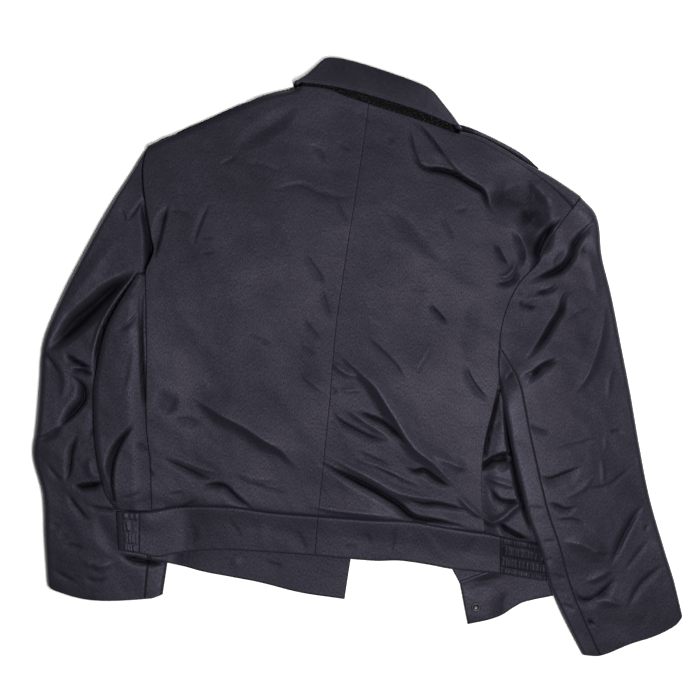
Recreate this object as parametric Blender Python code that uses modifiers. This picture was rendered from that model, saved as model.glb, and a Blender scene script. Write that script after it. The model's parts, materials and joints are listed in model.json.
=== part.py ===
"""An ike jacket laid flat on a table with its back up, its collar towards +Y.

Every panel is a wall of cloth.  Seams are short lists of plan points (x, y) in millimetres.  The
pieces are laid one after the other from the table up: a piece rests on the table, or on the smoothed
height of what already lies there.  The left sleeve goes under the body, the right sleeve over it.
"""

import math

import bmesh
import bpy
import numpy as np

MM = 0.001

# Cloth and clearances, millimetres
CLOTH = 1.8
SEAM_GAP = 0.3
CURVED_SEAM_GAP = 0.9
LAY_GAP = 0.9
PLEAT_LAP = 8.0
PLEAT_BLEND = 24.0
EDGE_REACH = 8.0
SHOULDER_ROUND = 10.0
DRAPE_REACH = 15.0
NARROW_SIDE = 30.0
EDGE_SHARE = 0.4
LAP_FADE = 0.12

# Grid of one panel: target length of a cell, millimetres
BODY_CELL = 21.0
FRONT_CELL = 25.0
SLEEVE_CELL = 26.0
BAND_CELL = 13.0
COLLAR_CELL = 14.0
STRAP_CELL = 18.0
BACK_SIZE = (250, 560)
FRONT_LEFT_SIZE = (290, 540)
FRONT_RIGHT_SIZE = (270, 540)

# Seams and edges of the body in plan: (x, y), from the collar down
CENTRE_BACK = [(-48, 313), (-49, 254), (-51, 202), (-55, 97), (-57, 18), (-54, -74), (-52, -226)]
PLEAT_LEFT = [(-309, 62), (-296, -36), (-285, -133), (-275, -180), (-266, -243)]
PLEAT_RIGHT = [(160, -36), (157, -62), (152, -102), (152, -138), (157, -180), (166, -223)]
EDGE_LEFT = [
    (-319, 62), (-339, 18), (-351, -16), (-357, -64),
    (-358, -96), (-349, -160), (-330, -223), (-312, -246),
]
EDGE_RIGHT = [(176, -36), (200, -47), (222, -80), (236, -130), (245, -180), (262, -229)]
ARMHOLE_LEFT = [(-326, 226), (-328, 195), (-320, 155), (-307, 110), (-302, 92), (-309, 67)]
ARMPIT_LEFT = (-298, 68)
SLEEVE_HEAD_LEFT = [(-327, 227), (-329, 195), (-321, 155), (-308, 110), (-302, 95), (-286, 78)]
ARMHOLE_RIGHT = [(229, 209), (204, 165), (190, 131), (172, 105), (161, 75), (156, 42), (157, 3), (161, -20)]
SHOULDER_LEFT = [(-326, 226), (-309, 238), (-285, 250), (-256, 267), (-214, 291), (-187, 308), (-145, 325)]
SHOULDER_RIGHT = [(72, 288), (95, 284), (129, 271), (171, 251), (204, 230), (229, 209)]
SHOULDER_RIGHT_EDGE = [(78, 298), (116, 285), (152, 270), (180, 256), (208, 243), (240, 226)]
NECK_BACK_LEFT = [(-145, 325), (-125, 327), (-100, 326), (-80, 320), (-48, 313)]
NECK_BACK_RIGHT = [(-48, 313), (5, 303), (48, 294), (72, 288)]
NECK_FRONT_LEFT = [(-145, 324), (-104, 301), (-50, 291)]
NECK_FRONT_RIGHT = [(72, 289), (42, 273), (-2, 266)]
FRONT_EDGE_LEFT = [(-50, 291), (-38, 120), (-20, -90), (-3, -273)]
FRONT_EDGE_RIGHT = [(-2, 266), (40, 110), (92, -90), (124, -262), (142, -293)]

# Waistband in plan, from the left to the right of the wearer
WAIST_LEFT = [(-282, -246), (-266, -243), (-232, -234), (-167, -227), (-114, -228), (-52, -226)]
WAIST_RIGHT = [(-52, -226), (16, -223), (68, -219), (107, -221), (147, -223), (166, -223), (186, -225)]
HEM_LEFT = [(-276, -299), (-252, -301), (-225, -293), (-167, -283), (-121, -280), (-50, -277)]
HEM_RIGHT = [(-50, -277), (28, -275), (61, -271), (100, -272), (126, -274), (192, -273)]
ELASTIC_LEFT_ENDS = [[(-312, -248), (-282, -246)], [(-303, -298), (-276, -299)]]
ELASTIC_RIGHT_ENDS = [[(186, -225), (264, -230)], [(192, -273), (270, -277)]]
TAB_LEFT_TOP = [(-268, -248), (-243, -248), (-163, -260), (-70, -270), (-3, -273)]
TAB_LEFT_HEM = [
    (-262, -306), (-236, -308), (-196, -315), (-157, -318), (-117, -321), (-64, -328), (-5, -330),
]
TAB_RIGHT_TOP = [(142, -293), (191, -269), (228, -250), (248, -238)]
TAB_RIGHT_HEM = [(158, -344), (198, -329), (216, -315), (228, -307), (252, -298)]

# Collar in plan: the fall's free edge, its fold and its two turned ends
FALL_FREE = [(-149, 330), (-107, 330), (-80, 328), (-34, 321), (20, 310), (63, 298), (76, 296)]
COLLAR_FOLD = [(-115, 364), (-105, 368), (-85, 368), (-38, 360), (22, 345), (38, 336)]
COLLAR_END_LEFT = [(-149, 330), (-134, 342), (-115, 364)]
COLLAR_END_RIGHT = [(76, 296), (62, 312), (38, 336)]
COLLAR_FRONT_ENDS = [[(-50, 294), (-50, 352)], [(-2, 269), (0, 336)]]
COLLAR_X = (-147.0, 73.0)

# The stand's place inside the fall, and how far the fall stands off the back
STAND_INSET = 4.5
STAND_SINK = 2.0
END_FADE = 24.0
FALL_CLEAR = 1.4
FALL_OFF_LEFT = 1.0
FALL_OFF_GAIN = 5.0

# Shoulder straps in plan: the edge that shows beyond the shoulder, and how far they reach under it
STRAP_LEFT = [(-292, 250), (-262, 266), (-232, 284), (-200, 303)]
STRAP_RIGHT = [(80, 301), (118, 289), (155, 274), (182, 258)]
STRAP_WIDTH = 46.0

# Heights of the body's upper layer above the table, a row for each level of the back
LOFT_X = (-330, -200, -54, 90, 200)
LOFT = (
    # y, left side, left half, centre, right half, right side
    (-300, 19, 9, 7, 7, 7),
    (-225, 22, 12, 9, 10, 10),
    (-110, 23, 15, 12, 13, 12),
    (40, 20, 15, 13, 15, 13),
    (180, 15, 15, 14, 17, 19),
    (330, 10, 13, 14, 13, 12),
)

# The largest folds: path in plan, rise (a trough is negative), reach to the left and right of the path
BODY_FOLDS = {
    "waist trough": ([(-67, -150), (-23, -168), (45, -196), (100, -212), (146, -221)], -6, 16, 22),
    "ridge over waist trough": ([(-50, -128), (10, -158), (60, -186)], 5, 22, 18),
    "long ridge of the right half": (
        [(-58, -2), (-20, -36), (27, -90), (84, -130), (134, -170)], 6, 20, 30,
    ),
    "dent of the right half": ([(40, 80), (66, 54), (95, 34)], -5, 24, 26),
    "ridge below the collar": ([(-28, 194), (47, 134), (78, 112)], 4, 26, 30),
    "shoulder fold": ([(5, 290), (25, 243), (71, 233), (112, 214), (129, 183)], -6, 18, 24),
    "shoulder hollow": ([(121, 228), (156, 208), (196, 180)], -5, 24, 22),
    "long ridge of the left half": ([(-249, -80), (-194, -102), (-118, -136), (-76, -164)], 5, 30, 22),
    "trough over the left waist": ([(-225, -205), (-179, -206), (-130, -218)], -3, 18, 18),
    "fold beside the left pleat": ([(-304, -130), (-320, -168), (-322, -222)], 4, 16, 16),
    "drag line of the left shoulder": ([(-203, 221), (-145, 206), (-92, 194)], 4, 20, 20),
}
SLEEVE_LEFT_FOLDS = {
    "armpit trough": ([(-322, 66), (-363, 32), (-391, -4), (-428, -44)], -7, 20, 24),
    "elbow trough": ([(-372, -40), (-371, -97), (-384, -134), (-404, -156)], -5, 18, 18),
    "elbow ridge": ([(-425, -100), (-402, -88), (-392, -60)], 4, 20, 20),
    "forearm trough": ([(-368, -218), (-340, -214), (-318, -222)], -4, 16, 18),
    "forearm ridge": ([(-414, -185), (-386, -208), (-362, -244)], 4, 20, 20),
}
SLEEVE_RIGHT_FOLDS = {
    "armhole trough": ([(259, 201), (238, 172), (228, 134), (206, 117), (180, 106)], -6, 20, 20),
    "armhole ridge": ([(270, 160), (255, 120), (218, 92), (186, 86)], 5, 20, 20),
    "upper trough": ([(246, 109), (224, 68), (208, 38), (186, 8)], -5, 18, 18),
    "pressed ridge": ([(287, 96), (284, 50), (270, -8), (256, -34)], 4, 20, 26),
    "elbow dent": ([(236, 12), (208, 2), (198, -24)], -4, 16, 18),
    "elbow trough": ([(224, -126), (254, -130), (288, -122)], -4, 16, 18),
    "outer trough": ([(371, -158), (350, -196), (332, -245)], -4, 18, 16),
    "cuff trough": ([(342, -256), (324, -284), (302, -290)], -4, 14, 14),
}

# Sleeves: the outer and inner edge in plan and the upper layer's height there, from armhole to cuff
SLEEVE_LEFT = (
    # outer x, outer y, inner x, inner y, outer height, inner height
    (-327, 227, -286, 78, 13, 9),
    (-341, 196, -285, 55, 15, 9),
    (-364, 149, -285, 31, 17, 9),
    (-394, 77, -282, -6, 17, 10),
    (-421, 3, -276, -45, 17, 10),
    (-433, -45, -268, -85, 17, 9),
    (-431, -98, -258, -125, 17, 9),
    (-429, -150, -252, -165, 17, 9),
    (-429, -190, -248, -203, 16, 9),
    (-411, -238, -244, -248, 16, 9),
    (-402, -292, -240, -300, 15, 9),
    (-391, -354, -241, -350, 12, 9),
)
SLEEVE_RIGHT = (
    # outer x, outer y, inner x, inner y, outer height, inner height
    (240, 225, 161, -20, 18, 22),
    (263, 203, 164, -33, 18, 26),
    (276, 152, 170, -54, 19, 30),
    (293, 106, 179, -84, 20, 31),
    (316, 34, 192, -125, 20, 31),
    (333, -20, 204, -158, 20, 31),
    (352, -85, 220, -200, 19, 30),
    (374, -153, 241, -240, 18, 28),
    (401, -218, 259, -284, 17, 22),
    (417, -254, 279, -319, 16, 18),
    (434, -300, 310, -365, 14, 14),
)
CUFF_LEFT = [(-391, -354), (-381, -360), (-331, -367), (-257, -357), (-241, -350)]
CUFF_RIGHT = [(434, -300), (425, -313), (401, -329), (370, -343), (333, -363), (310, -365)]
HINDARM_SHARE = 0.16
FOREARM_SHARE = 0.25
HEAD_FROM_LEFT = 0.2
HEAD_FROM_RIGHT = -0.3
HEAD_BLEND = 0.3
HEAD_LENGTH = 110.0
CUFF_LENGTH = 90.0
SLEEVE_PUFF = 3.0
SLEEVE_HOLLOW = 2.2

# Elastic ends of the waistband: gathers across the part that shows
GATHER_PITCH = 7.5
GATHER_RISE = 0.6
ELASTIC_LEFT_TAIL = 36.0
TAIL_DROP = 2.0
ELASTIC_RIGHT_TAIL = 10.0

# Buttons
BUTTON_PLACE = (166, -320)
BUTTON_RADIUS = 8.0
BUTTON_HEIGHT = 3.4
BACKING_RADIUS = 6.0
BACKING_HEIGHT = 2.2
BUTTON_PROFILE = ((0, 1), (0.8, 1), (1, 0.75), (0.9, 0.3), (0.6, 0), (0, 0))
BACKING_PROFILE = ((0, 0.45), (0.6, 0.5), (0.75, 1), (0.92, 1), (1, 0.6), (0.9, 0), (0, 0))
TURN_STEPS = 24


# ---------------------------------------------------------------- curves and grids in plan

def smooth_line(points, steps=10):
    """A smooth line through the points, as many closely spaced points."""
    p = np.array(points, float)
    length = np.linalg.norm(np.diff(p[:, :2], axis=0), axis=1)
    at = np.concatenate([[0.0], np.cumsum(length)])
    slope = np.empty_like(p)
    slope[0] = (p[1] - p[0]) / length[0]
    slope[-1] = (p[-1] - p[-2]) / length[-1]
    slope[1:-1] = (p[2:] - p[:-2]) / (at[2:] - at[:-2])[:, None]
    t = np.linspace(0.0, 1.0, steps, endpoint=False)[:, None]
    parts = []
    for k, span in enumerate(length):
        parts.append(
            (2 * t**3 - 3 * t**2 + 1) * p[k]
            + (t**3 - 2 * t**2 + t) * span * slope[k]
            + (3 * t**2 - 2 * t**3) * p[k + 1]
            + (t**3 - t**2) * span * slope[k + 1]
        )
    return np.vstack(parts + [p[-1:]])


def joined(*curves):
    """One line through several smooth curves, with a corner where two meet."""
    lines = [smooth_line(c) for c in curves]
    return np.vstack([lines[0]] + [line[1:] for line in lines[1:]])


def along(line, shares):
    """The points at these shares of the line's length in plan."""
    step = np.linalg.norm(np.diff(line[:, :2], axis=0), axis=1)
    at = np.concatenate([[0.0], np.cumsum(step)])
    wanted = np.asarray(shares) * at[-1]
    return np.stack([np.interp(wanted, at, line[:, k]) for k in range(line.shape[1])], axis=-1)


def line_length(line):
    return float(np.linalg.norm(np.diff(line[:, :2], axis=0), axis=1).sum())


def shares_for(length, cell):
    return np.linspace(0.0, 1.0, max(2, round(length / cell)) + 1)


def coons(bottom, top, left, right, us, vs):
    """A grid in plan between four lines that meet at their ends: us across, vs upwards."""
    b, t = along(bottom, us), along(top, us)
    lo, hi = along(left, vs), along(right, vs)
    u, v = us[None, :, None], vs[:, None, None]
    corners = (
        (1 - u) * (1 - v) * b[0] + u * (1 - v) * b[-1] + (1 - u) * v * t[0] + u * v * t[-1]
    )
    return (1 - v) * b[None] + v * t[None] + (1 - u) * lo[:, None] + u * hi[:, None] - corners


def ruled(first, second, us, vs):
    """A grid in plan of straight lines from one rail to the other: us from first to second."""
    a, b = along(first, vs)[:, None], along(second, vs)[:, None]
    return a + (b - a) * us[None, :, None]


def with_height(plan, height):
    return np.concatenate([plan, np.asarray(height)[..., None]], axis=-1)


SIDES = {
    "u0": (np.s_[:, 0], np.s_[:, 1]),
    "u1": (np.s_[:, -1], np.s_[:, -2]),
    "v0": (np.s_[0], np.s_[1]),
    "v1": (np.s_[-1], np.s_[-2]),
}


def parted(grid, sides, gap=SEAM_GAP / 2):
    """The grid with the named sides (u0, u1, v0, v1) drawn back from their seams."""
    out = grid.copy()
    for side in sides:
        out[SIDES[side][0]] += across(grid, side) * gap
    return out


def across(grid, side):
    """Level unit vectors from one side of the grid towards its next line of points."""
    edge, inner = SIDES[side]
    way = grid[inner] - grid[edge]
    way[..., 2:] = 0.0
    return way / np.maximum(np.linalg.norm(way, axis=-1, keepdims=True), 1e-6)


# ---------------------------------------------------------------- heights

def smooth_step(x):
    x = np.clip(x, 0.0, 1.0)
    return x * x * (3 - 2 * x)


def smooth_max(a, b, blend=1.5):
    return 0.5 * (a + b + np.sqrt((a - b) ** 2 + blend**2))


def fold_height(x, y, folds):
    """The rise of all folds at the points: each fades across its two reaches and at both ends."""
    total = np.zeros(np.shape(x))
    for path, rise, reach_left, reach_right in folds.values():
        line = smooth_line(path, 5)
        a, b = line[:-1], line[1:]
        way = b - a
        span = np.linalg.norm(way, axis=1)
        start = np.concatenate([[0.0], np.cumsum(span)])
        px = np.asarray(x)[..., None] - a[:, 0]
        py = np.asarray(y)[..., None] - a[:, 1]
        t = np.clip((px * way[:, 0] + py * way[:, 1]) / span**2, 0.0, 1.0)
        dx, dy = px - t * way[:, 0], py - t * way[:, 1]
        gap = np.hypot(dx, dy)
        best = gap.argmin(axis=-1)[..., None]
        side = np.take_along_axis(way[:, 0] * dy - way[:, 1] * dx, best, -1)[..., 0]
        gap = np.take_along_axis(gap, best, -1)[..., 0]
        share = np.take_along_axis((start[:-1] + t * span) / start[-1], best, -1)[..., 0]
        across = 1 - smooth_step(gap / np.where(side > 0, reach_left, reach_right))
        ends = smooth_step(share / 0.3) * smooth_step((1 - share) / 0.3)
        total += rise * across * ends
    return total


def distance_to(line, x, y):
    plan = np.stack(np.broadcast_arrays(x, y), axis=-1)
    return np.linalg.norm(plan[..., None, :] - line, axis=-1).min(axis=-1)


def pleat_room(x, y):
    """The height that the layer tucked under each pleat takes up."""
    left = distance_to(smooth_line(PLEAT_LEFT), x, y)
    near = np.minimum(left, distance_to(smooth_line(PLEAT_RIGHT), x, y))
    return (CLOTH + LAY_GAP + SEAM_GAP) * (1 - smooth_step((near - PLEAT_LAP) / PLEAT_BLEND))


def loft(x, y):
    """The smooth height of the back's upper layer, before folds."""
    table = np.array(LOFT, float)
    columns = [np.interp(y, table[:, 0], table[:, k + 1]) for k in range(len(LOFT_X))]
    stops = np.array(LOFT_X, float)
    k = np.clip(np.searchsorted(stops, x) - 1, 0, len(stops) - 2)
    t = smooth_step((x - stops[k]) / (stops[k + 1] - stops[k]))
    stack = np.stack(columns, axis=-1)
    low = np.take_along_axis(stack, k[..., None], -1)[..., 0]
    high = np.take_along_axis(stack, k[..., None] + 1, -1)[..., 0]
    return low + (high - low) * t


class Table:
    """The height of what lies on the table so far, on square cells in plan."""

    CELL = 3.0
    LOW = (-470.0, -420.0)
    CELLS = (314, 280)

    def __init__(self):
        self.height = np.zeros(self.CELLS)

    def lay(self, grid, steps=8):
        """Adds the upper surface of a grid of points (rows, columns, xyz)."""
        s = np.linspace(0.0, 1.0, steps)
        u, v = s[None, :, None], s[:, None, None]
        a, b = grid[:-1, :-1, None, None], grid[:-1, 1:, None, None]
        c, d = grid[1:, :-1, None, None], grid[1:, 1:, None, None]
        p = (a * (1 - u) * (1 - v) + b * u * (1 - v) + c * (1 - u) * v + d * u * v).reshape(-1, 3)
        index = tuple(
            np.clip(np.round((p[:, k] - self.LOW[k]) / self.CELL).astype(int), 0, self.CELLS[k] - 1)
            for k in (0, 1)
        )
        np.maximum.at(self.height, index, p[:, 2])

    def cover(self, reach=DRAPE_REACH):
        """A function of (x, y): a smooth sheet over everything laid, never below any of it."""
        cells = round(reach / self.CELL)
        field = self.height
        for axis in (0, 1):
            field = np.max([np.roll(field, s, axis) for s in range(-cells, cells + 1)], axis=0)
        blur = cells // 2
        for axis in (0, 1, 0, 1):
            field = np.mean([np.roll(field, s, axis) for s in range(-blur, blur + 1)], axis=0)

        def sample(x, y):
            fx = np.clip((np.asarray(x) - self.LOW[0]) / self.CELL, 0, self.CELLS[0] - 1.001)
            fy = np.clip((np.asarray(y) - self.LOW[1]) / self.CELL, 0, self.CELLS[1] - 1.001)
            i, j = fx.astype(int), fy.astype(int)
            tx, ty = fx - i, fy - j
            low = field[i, j] * (1 - tx) + field[i + 1, j] * tx
            high = field[i, j + 1] * (1 - tx) + field[i + 1, j + 1] * tx
            return low * (1 - ty) + high * ty

        return sample


def on_table(x, y):
    return np.zeros(np.shape(x))


def resting_on(cover):
    """Where the underside of the next layer lies: on the table, or clear above what is there."""

    def underside(x, y):
        below = cover(x, y)
        return below + LAY_GAP * smooth_step(below / 1.0)

    return underside


def turned_edge(edge, inward, reach, high, low, angles):
    """Columns of points that carry a sheet round its edge, from high (90) to low (-90 degrees)."""
    columns = []
    for angle in np.radians(angles):
        plan = edge + inward * (reach * (1 - math.cos(angle)))[:, None]
        columns.append(with_height(plan, (high + low) / 2 + (high - low) / 2 * math.sin(angle)))
    return np.stack(columns, axis=1)


# ---------------------------------------------------------------- walls of cloth

def outward_normals(grid, upright, lies):
    """Unit normals away from the cloth; on the named sides they keep to the plane of the seam."""
    normal = np.cross(np.gradient(grid, axis=1), np.gradient(grid, axis=0))
    normal /= np.maximum(np.linalg.norm(normal, axis=-1, keepdims=True), 1e-9)
    faces_up = normal[len(grid) // 2, 0, 2] > 0
    if faces_up != (lies == "below"):
        normal = -normal
    for side in upright:
        edge, way = normal[SIDES[side][0]], across(grid, side)
        edge -= np.sum(edge * way, axis=-1, keepdims=True) * way
        edge /= np.linalg.norm(edge, axis=-1, keepdims=True)
    return normal


def wall(name, grid, material, lies, upright=(), thickness=CLOTH):
    """A closed wall of cloth from a grid on its outer face: at the first column it lies below or above."""
    other = (grid - thickness * outward_normals(grid, upright, lies)).reshape(-1, 3) * MM
    points = grid.reshape(-1, 3) * MM
    rows, columns = grid.shape[:2]
    bm = bmesh.new()
    bmesh.ops.create_grid(bm, x_segments=columns - 1, y_segments=rows - 1, size=1.0)
    station = bm.verts.layers.int.new("station")
    for index, vert in enumerate(bm.verts):
        vert[station] = index
        vert.co = points[index]
    made = bmesh.ops.extrude_face_region(bm, geom=bm.faces[:], use_keep_orig=True)
    for vert in made["geom"]:
        if isinstance(vert, bmesh.types.BMVert):
            vert.co = other[vert[station]]
    bmesh.ops.recalc_face_normals(bm, faces=bm.faces[:])
    if bm.calc_volume(signed=True) < 0:
        bmesh.ops.reverse_faces(bm, faces=bm.faces[:])
    return placed(name, bm, material)


def placed(name, bm, material):
    mesh = bpy.data.meshes.new(name)
    bm.to_mesh(mesh)
    bm.free()
    mesh.materials.append(material)
    mesh.shade_smooth()
    obj = bpy.data.objects.new(name, mesh)
    COLLECTION.objects.link(obj)
    return obj


def turned(name, profile, place, material):
    """A turned piece: its profile of (radius, height) in millimetres, from the top down."""
    bm = bmesh.new()
    verts = [bm.verts.new((r * MM, 0.0, z * MM)) for r, z in profile]
    for a, b in zip(verts, verts[1:]):
        bm.edges.new((a, b))
    obj = placed(name, bm, material)
    obj.location = [c * MM for c in place]
    screw = obj.modifiers.new("Turn", "SCREW")
    screw.steps = screw.render_steps = TURN_STEPS
    screw.use_merge_vertices = True
    screw.merge_threshold = 0.00001
    return obj


def surface_material(name, colour, roughness, metallic=0.0):
    material = bpy.data.materials.new(name)
    material.use_nodes = True
    shader = material.node_tree.nodes["Principled BSDF"]
    shader.inputs["Base Color"].default_value = (*colour, 1.0)
    shader.inputs["Roughness"].default_value = roughness
    shader.inputs["Metallic"].default_value = metallic
    material.diffuse_color = (*colour, 1.0)
    return material


# ---------------------------------------------------------------- pieces

def strap(edge):
    """A shoulder strap that lies on the table under its shoulder, its edge just beyond it."""
    line = smooth_line(edge)
    vs = shares_for(line_length(line), STRAP_CELL)
    rail = along(line, vs)
    way = np.gradient(rail, axis=0)
    way /= np.linalg.norm(way, axis=1, keepdims=True)
    inward = np.stack([way[:, 1], -way[:, 0]], axis=1)
    us = np.linspace(0.0, 1.0, 4)[None, :, None]
    return with_height(rail[:, None] + inward[:, None] * us * STRAP_WIDTH, np.zeros((len(vs), 4)))


def sleeve(rows, armhole, cuff, underside, upper, folds, head_from):
    """Rings of points round a flat sleeve, cut at its two seams: (under sleeve, top sleeve)."""
    table = smooth_line(rows, 6)
    length = line_length(table)
    stations = shares_for(length, SLEEVE_CELL)
    row = along(table, stations)
    outer, inner = row[:, 0:2], row[:, 2:4]
    near = 1 - smooth_step(stations * length / HEAD_LENGTH)
    far = 1 - smooth_step((1 - stations) * length / CUFF_LENGTH)
    reach = EDGE_REACH / np.linalg.norm(outer - inner, axis=1).mean()
    armhole_line, cuff_line = smooth_line(armhole), smooth_line(cuff)

    def at(share):
        """Plan, lower and upper height at this share of the way from the inner to the outer edge."""
        plan = inner + (outer - inner) * share
        at_armhole = along(armhole_line, [1 - share])[0] - plan[0]
        at_cuff = along(cuff_line, [1 - share])[0] - plan[-1]
        plan = plan + at_armhole * near[:, None] + at_cuff * far[:, None]
        x, y = plan[:, 0], plan[:, 1]
        low = underside(x, y)
        own = row[:, 5] + (row[:, 4] - row[:, 5]) * share
        own = own + 4 * SLEEVE_PUFF * share * (1 - share)
        own = own + fold_height(x, y, folds) * (1 - near)
        head = near * smooth_step((share - head_from) / HEAD_BLEND)
        own = own * (1 - head) + upper(x, y) * head
        return plan, low, smooth_max(own, low + 2 * CLOTH + SLEEVE_HOLLOW)

    def flat(shares, face):
        columns = []
        for share in shares:
            plan, low, high = at(share)
            columns.append(with_height(plan, high if face == "upper" else low))
        return np.stack(columns, axis=1)

    def round_edge(share, edge_share, angles):
        plan, low, high = at(share)
        edge, edge_low, _ = at(edge_share)
        low = np.maximum(low, edge_low)
        inward = plan - edge
        span = np.linalg.norm(inward, axis=1)
        return turned_edge(edge, inward / span[:, None], span, high, low, angles)

    arc = np.array([54.0, 18.0, -18.0, -54.0])
    under = (
        flat(np.linspace(FOREARM_SHARE, reach, 4), "lower"),
        round_edge(reach, 0.0, -arc),
        flat([reach, HINDARM_SHARE], "upper"),
    )
    top = (
        flat(np.linspace(HINDARM_SHARE, 1 - reach, 8), "upper"),
        round_edge(1 - reach, 1.0, arc),
        flat(np.linspace(1 - reach, FOREARM_SHARE, 5), "lower"),
    )
    pieces = [parted(np.concatenate(p, axis=1), ("u0", "u1"), SEAM_GAP) for p in (under, top)]
    return [parted(piece, ("v0",), CURVED_SEAM_GAP) for piece in pieces] + [row]


def side_panel(pleat, edge, upper, lower):
    """The back's side: it laps under the pleat, then turns round the body's edge."""
    pleat_line, edge_line = smooth_line(pleat), smooth_line(edge)
    vs = shares_for(line_length(edge_line), BODY_CELL)
    pleat_at, edge_at = along(pleat_line, vs), along(edge_line, vs)
    inward = pleat_at - edge_at
    width = np.linalg.norm(inward, axis=1)
    inward = inward / width[:, None]
    reach = np.minimum(EDGE_REACH, EDGE_SHARE * width)
    lap = PLEAT_LAP * np.minimum(1.0, width / NARROW_SIDE) * smooth_step((1 - vs) / LAP_FADE)
    across = np.linspace(0.0, 1.0, 5)[None, :] * (width + lap - reach)[:, None]
    plan = (pleat_at + inward * lap[:, None])[:, None] - inward[:, None] * across[..., None]
    tucked = 1 - smooth_step((across - lap[:, None]) / PLEAT_BLEND)
    x, y = plan[..., 0], plan[..., 1]
    height = np.maximum(upper(x, y) - (CLOTH + LAY_GAP) * tucked, lower(x, y) + CLOTH)
    low = lower(edge_at[:, 0], edge_at[:, 1])
    turn = turned_edge(edge_at, inward, reach, height[:, -1], low, (55, 20, -15, -45))
    return parted(np.concatenate([with_height(plan, height), turn], axis=1), ("v1",))


def elastic_rails(ends):
    """The two rails of an elastic end, from hem to waist: its inner seam and the body's edge."""
    (top_start, top_edge), (hem_start, hem_edge) = np.array(ends, float)
    vs = np.linspace(0.0, 1.0, 5)[:, None]
    start = hem_start + (top_start - hem_start) * vs
    edge_at = hem_edge + (top_edge - hem_edge) * vs
    inward = start - edge_at
    width = np.linalg.norm(inward, axis=1)
    return start, edge_at, inward / width[:, None], width


def elastic_tail(ends, lower, tail):
    """The part of an elastic end that lies behind, from the turned edge to the front's waistband."""
    _, edge_at, inward, _ = elastic_rails(ends)
    behind = edge_at[:, None] + inward[:, None] * np.linspace(EDGE_REACH, tail, 3)[None, :, None]
    behind[..., 1] -= np.linspace(0.0, TAIL_DROP, 5)[:, None]
    return with_height(behind, lower(behind[..., 0], behind[..., 1]))


def elastic_end(ends, upper, lower, tail):
    """A gathered elastic end of the waistband that turns under at the body's edge."""
    start, edge_at, inward, width = elastic_rails(ends)
    reach = np.full(len(start), EDGE_REACH)
    gathers = max(1, round((width.mean() - EDGE_REACH) / GATHER_PITCH))
    us = np.linspace(0.0, 1.0, 4 * gathers + 1)
    plan = start[:, None] + (edge_at + inward * reach[:, None] - start)[:, None] * us[None, :, None]
    faded = smooth_step(6 * us) * smooth_step(6 - 6 * us)
    waves = GATHER_RISE * np.sin(2 * math.pi * gathers * us) * faded
    height = upper(plan[..., 0], plan[..., 1]) + waves
    low = lower(edge_at[:, 0], edge_at[:, 1])
    turn = turned_edge(edge_at, inward, reach, height[:, -1], low, (55, 18, -18, -55))
    behind = elastic_tail(ends, lower, tail)
    return parted(np.concatenate([with_height(plan, height), turn, behind], axis=1), ("u0", "v1"))


def collar_layer(low_back, lift, inset, table_height):
    """One layer of the collar: front left on the table, over its turned end, the back, and round again."""
    vs = np.linspace(0.0, 1.0, 4)
    fold = smooth_line([(x, y - 0.3 * inset) for x, y in COLLAR_FOLD])
    us = shares_for(line_length(fold), COLLAR_CELL)
    ends = [
        smooth_line([tuple(low_back[k]), *end[1:]])
        for k, end in ((0, COLLAR_END_LEFT), (-1, COLLAR_END_RIGHT))
    ]
    back = coons(low_back, fold, ends[0], ends[1], us, vs)
    from_end = np.minimum(us, 1 - us) * line_length(fold)
    drawn = 1.2 * inset * (1 - smooth_step(from_end / END_FADE))
    back += across(back, "v0") * drawn[None, :, None] * (1 - vs)[:, None, None]
    reach = np.full(len(vs), EDGE_REACH - inset)
    parts = []
    for column, beside, front_end in ((0, 1, COLLAR_FRONT_ENDS[0]), (-1, -2, COLLAR_FRONT_ENDS[1])):
        way = np.gradient(back[:, column], axis=0)
        inward = np.stack([way[:, 1], -way[:, 0]], axis=1) / np.linalg.norm(way, axis=1, keepdims=True)
        inward *= np.sign(np.sum(inward * (back[:, beside] - back[:, column])))
        edge_at = back[:, column] + inward * inset
        low = np.full(len(vs), table_height)
        high = lift(edge_at[:, 0], edge_at[:, 1], vs)
        turn = turned_edge(edge_at, inward, reach, high, low, (60, 20, -20, -60))
        near = edge_at + inward * reach[:, None]
        end_low, end_high = np.array(front_end, float)
        far = end_low + (end_high - end_low) * vs[:, None]
        front = near[:, None] + (far - near)[:, None] * np.linspace(0.0, 1.0, 5)[None, :, None]
        front = with_height(front, np.full(front.shape[:2], table_height))
        parts.append(np.concatenate([turn, front], axis=1))
    middle = back[:, 1:-1]
    middle = with_height(middle, lift(middle[..., 0], middle[..., 1], vs[:, None]))
    return np.concatenate([parts[0][:, ::-1], middle, parts[1]], axis=1)


def front_left(underside):
    """The plan of the left front from its side to its front edge, resting on what lies there."""
    body_edge = smooth_line([(x + 4, y) for x, y in EDGE_LEFT[::-1]])
    armhole = smooth_line([ARMPIT_LEFT, *[(x + 1, y) for x, y in ARMHOLE_LEFT[-3::-1]]])
    outline = np.vstack([body_edge, armhole])
    hem = smooth_line([tuple(body_edge[0]), *TAB_LEFT_TOP])
    centre = joined(FRONT_EDGE_LEFT[::-1], NECK_FRONT_LEFT[::-1])
    top = smooth_line([(x + 1.5, y - 3.0) for x, y in SHOULDER_LEFT])
    outline[-1], centre[-1] = top[0], top[-1]
    us, vs = (shares_for(size, FRONT_CELL) for size in FRONT_LEFT_SIZE)
    plan = coons(hem, top, outline, centre, us, vs)
    return with_height(plan, underside(plan[..., 0], plan[..., 1]))


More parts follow.
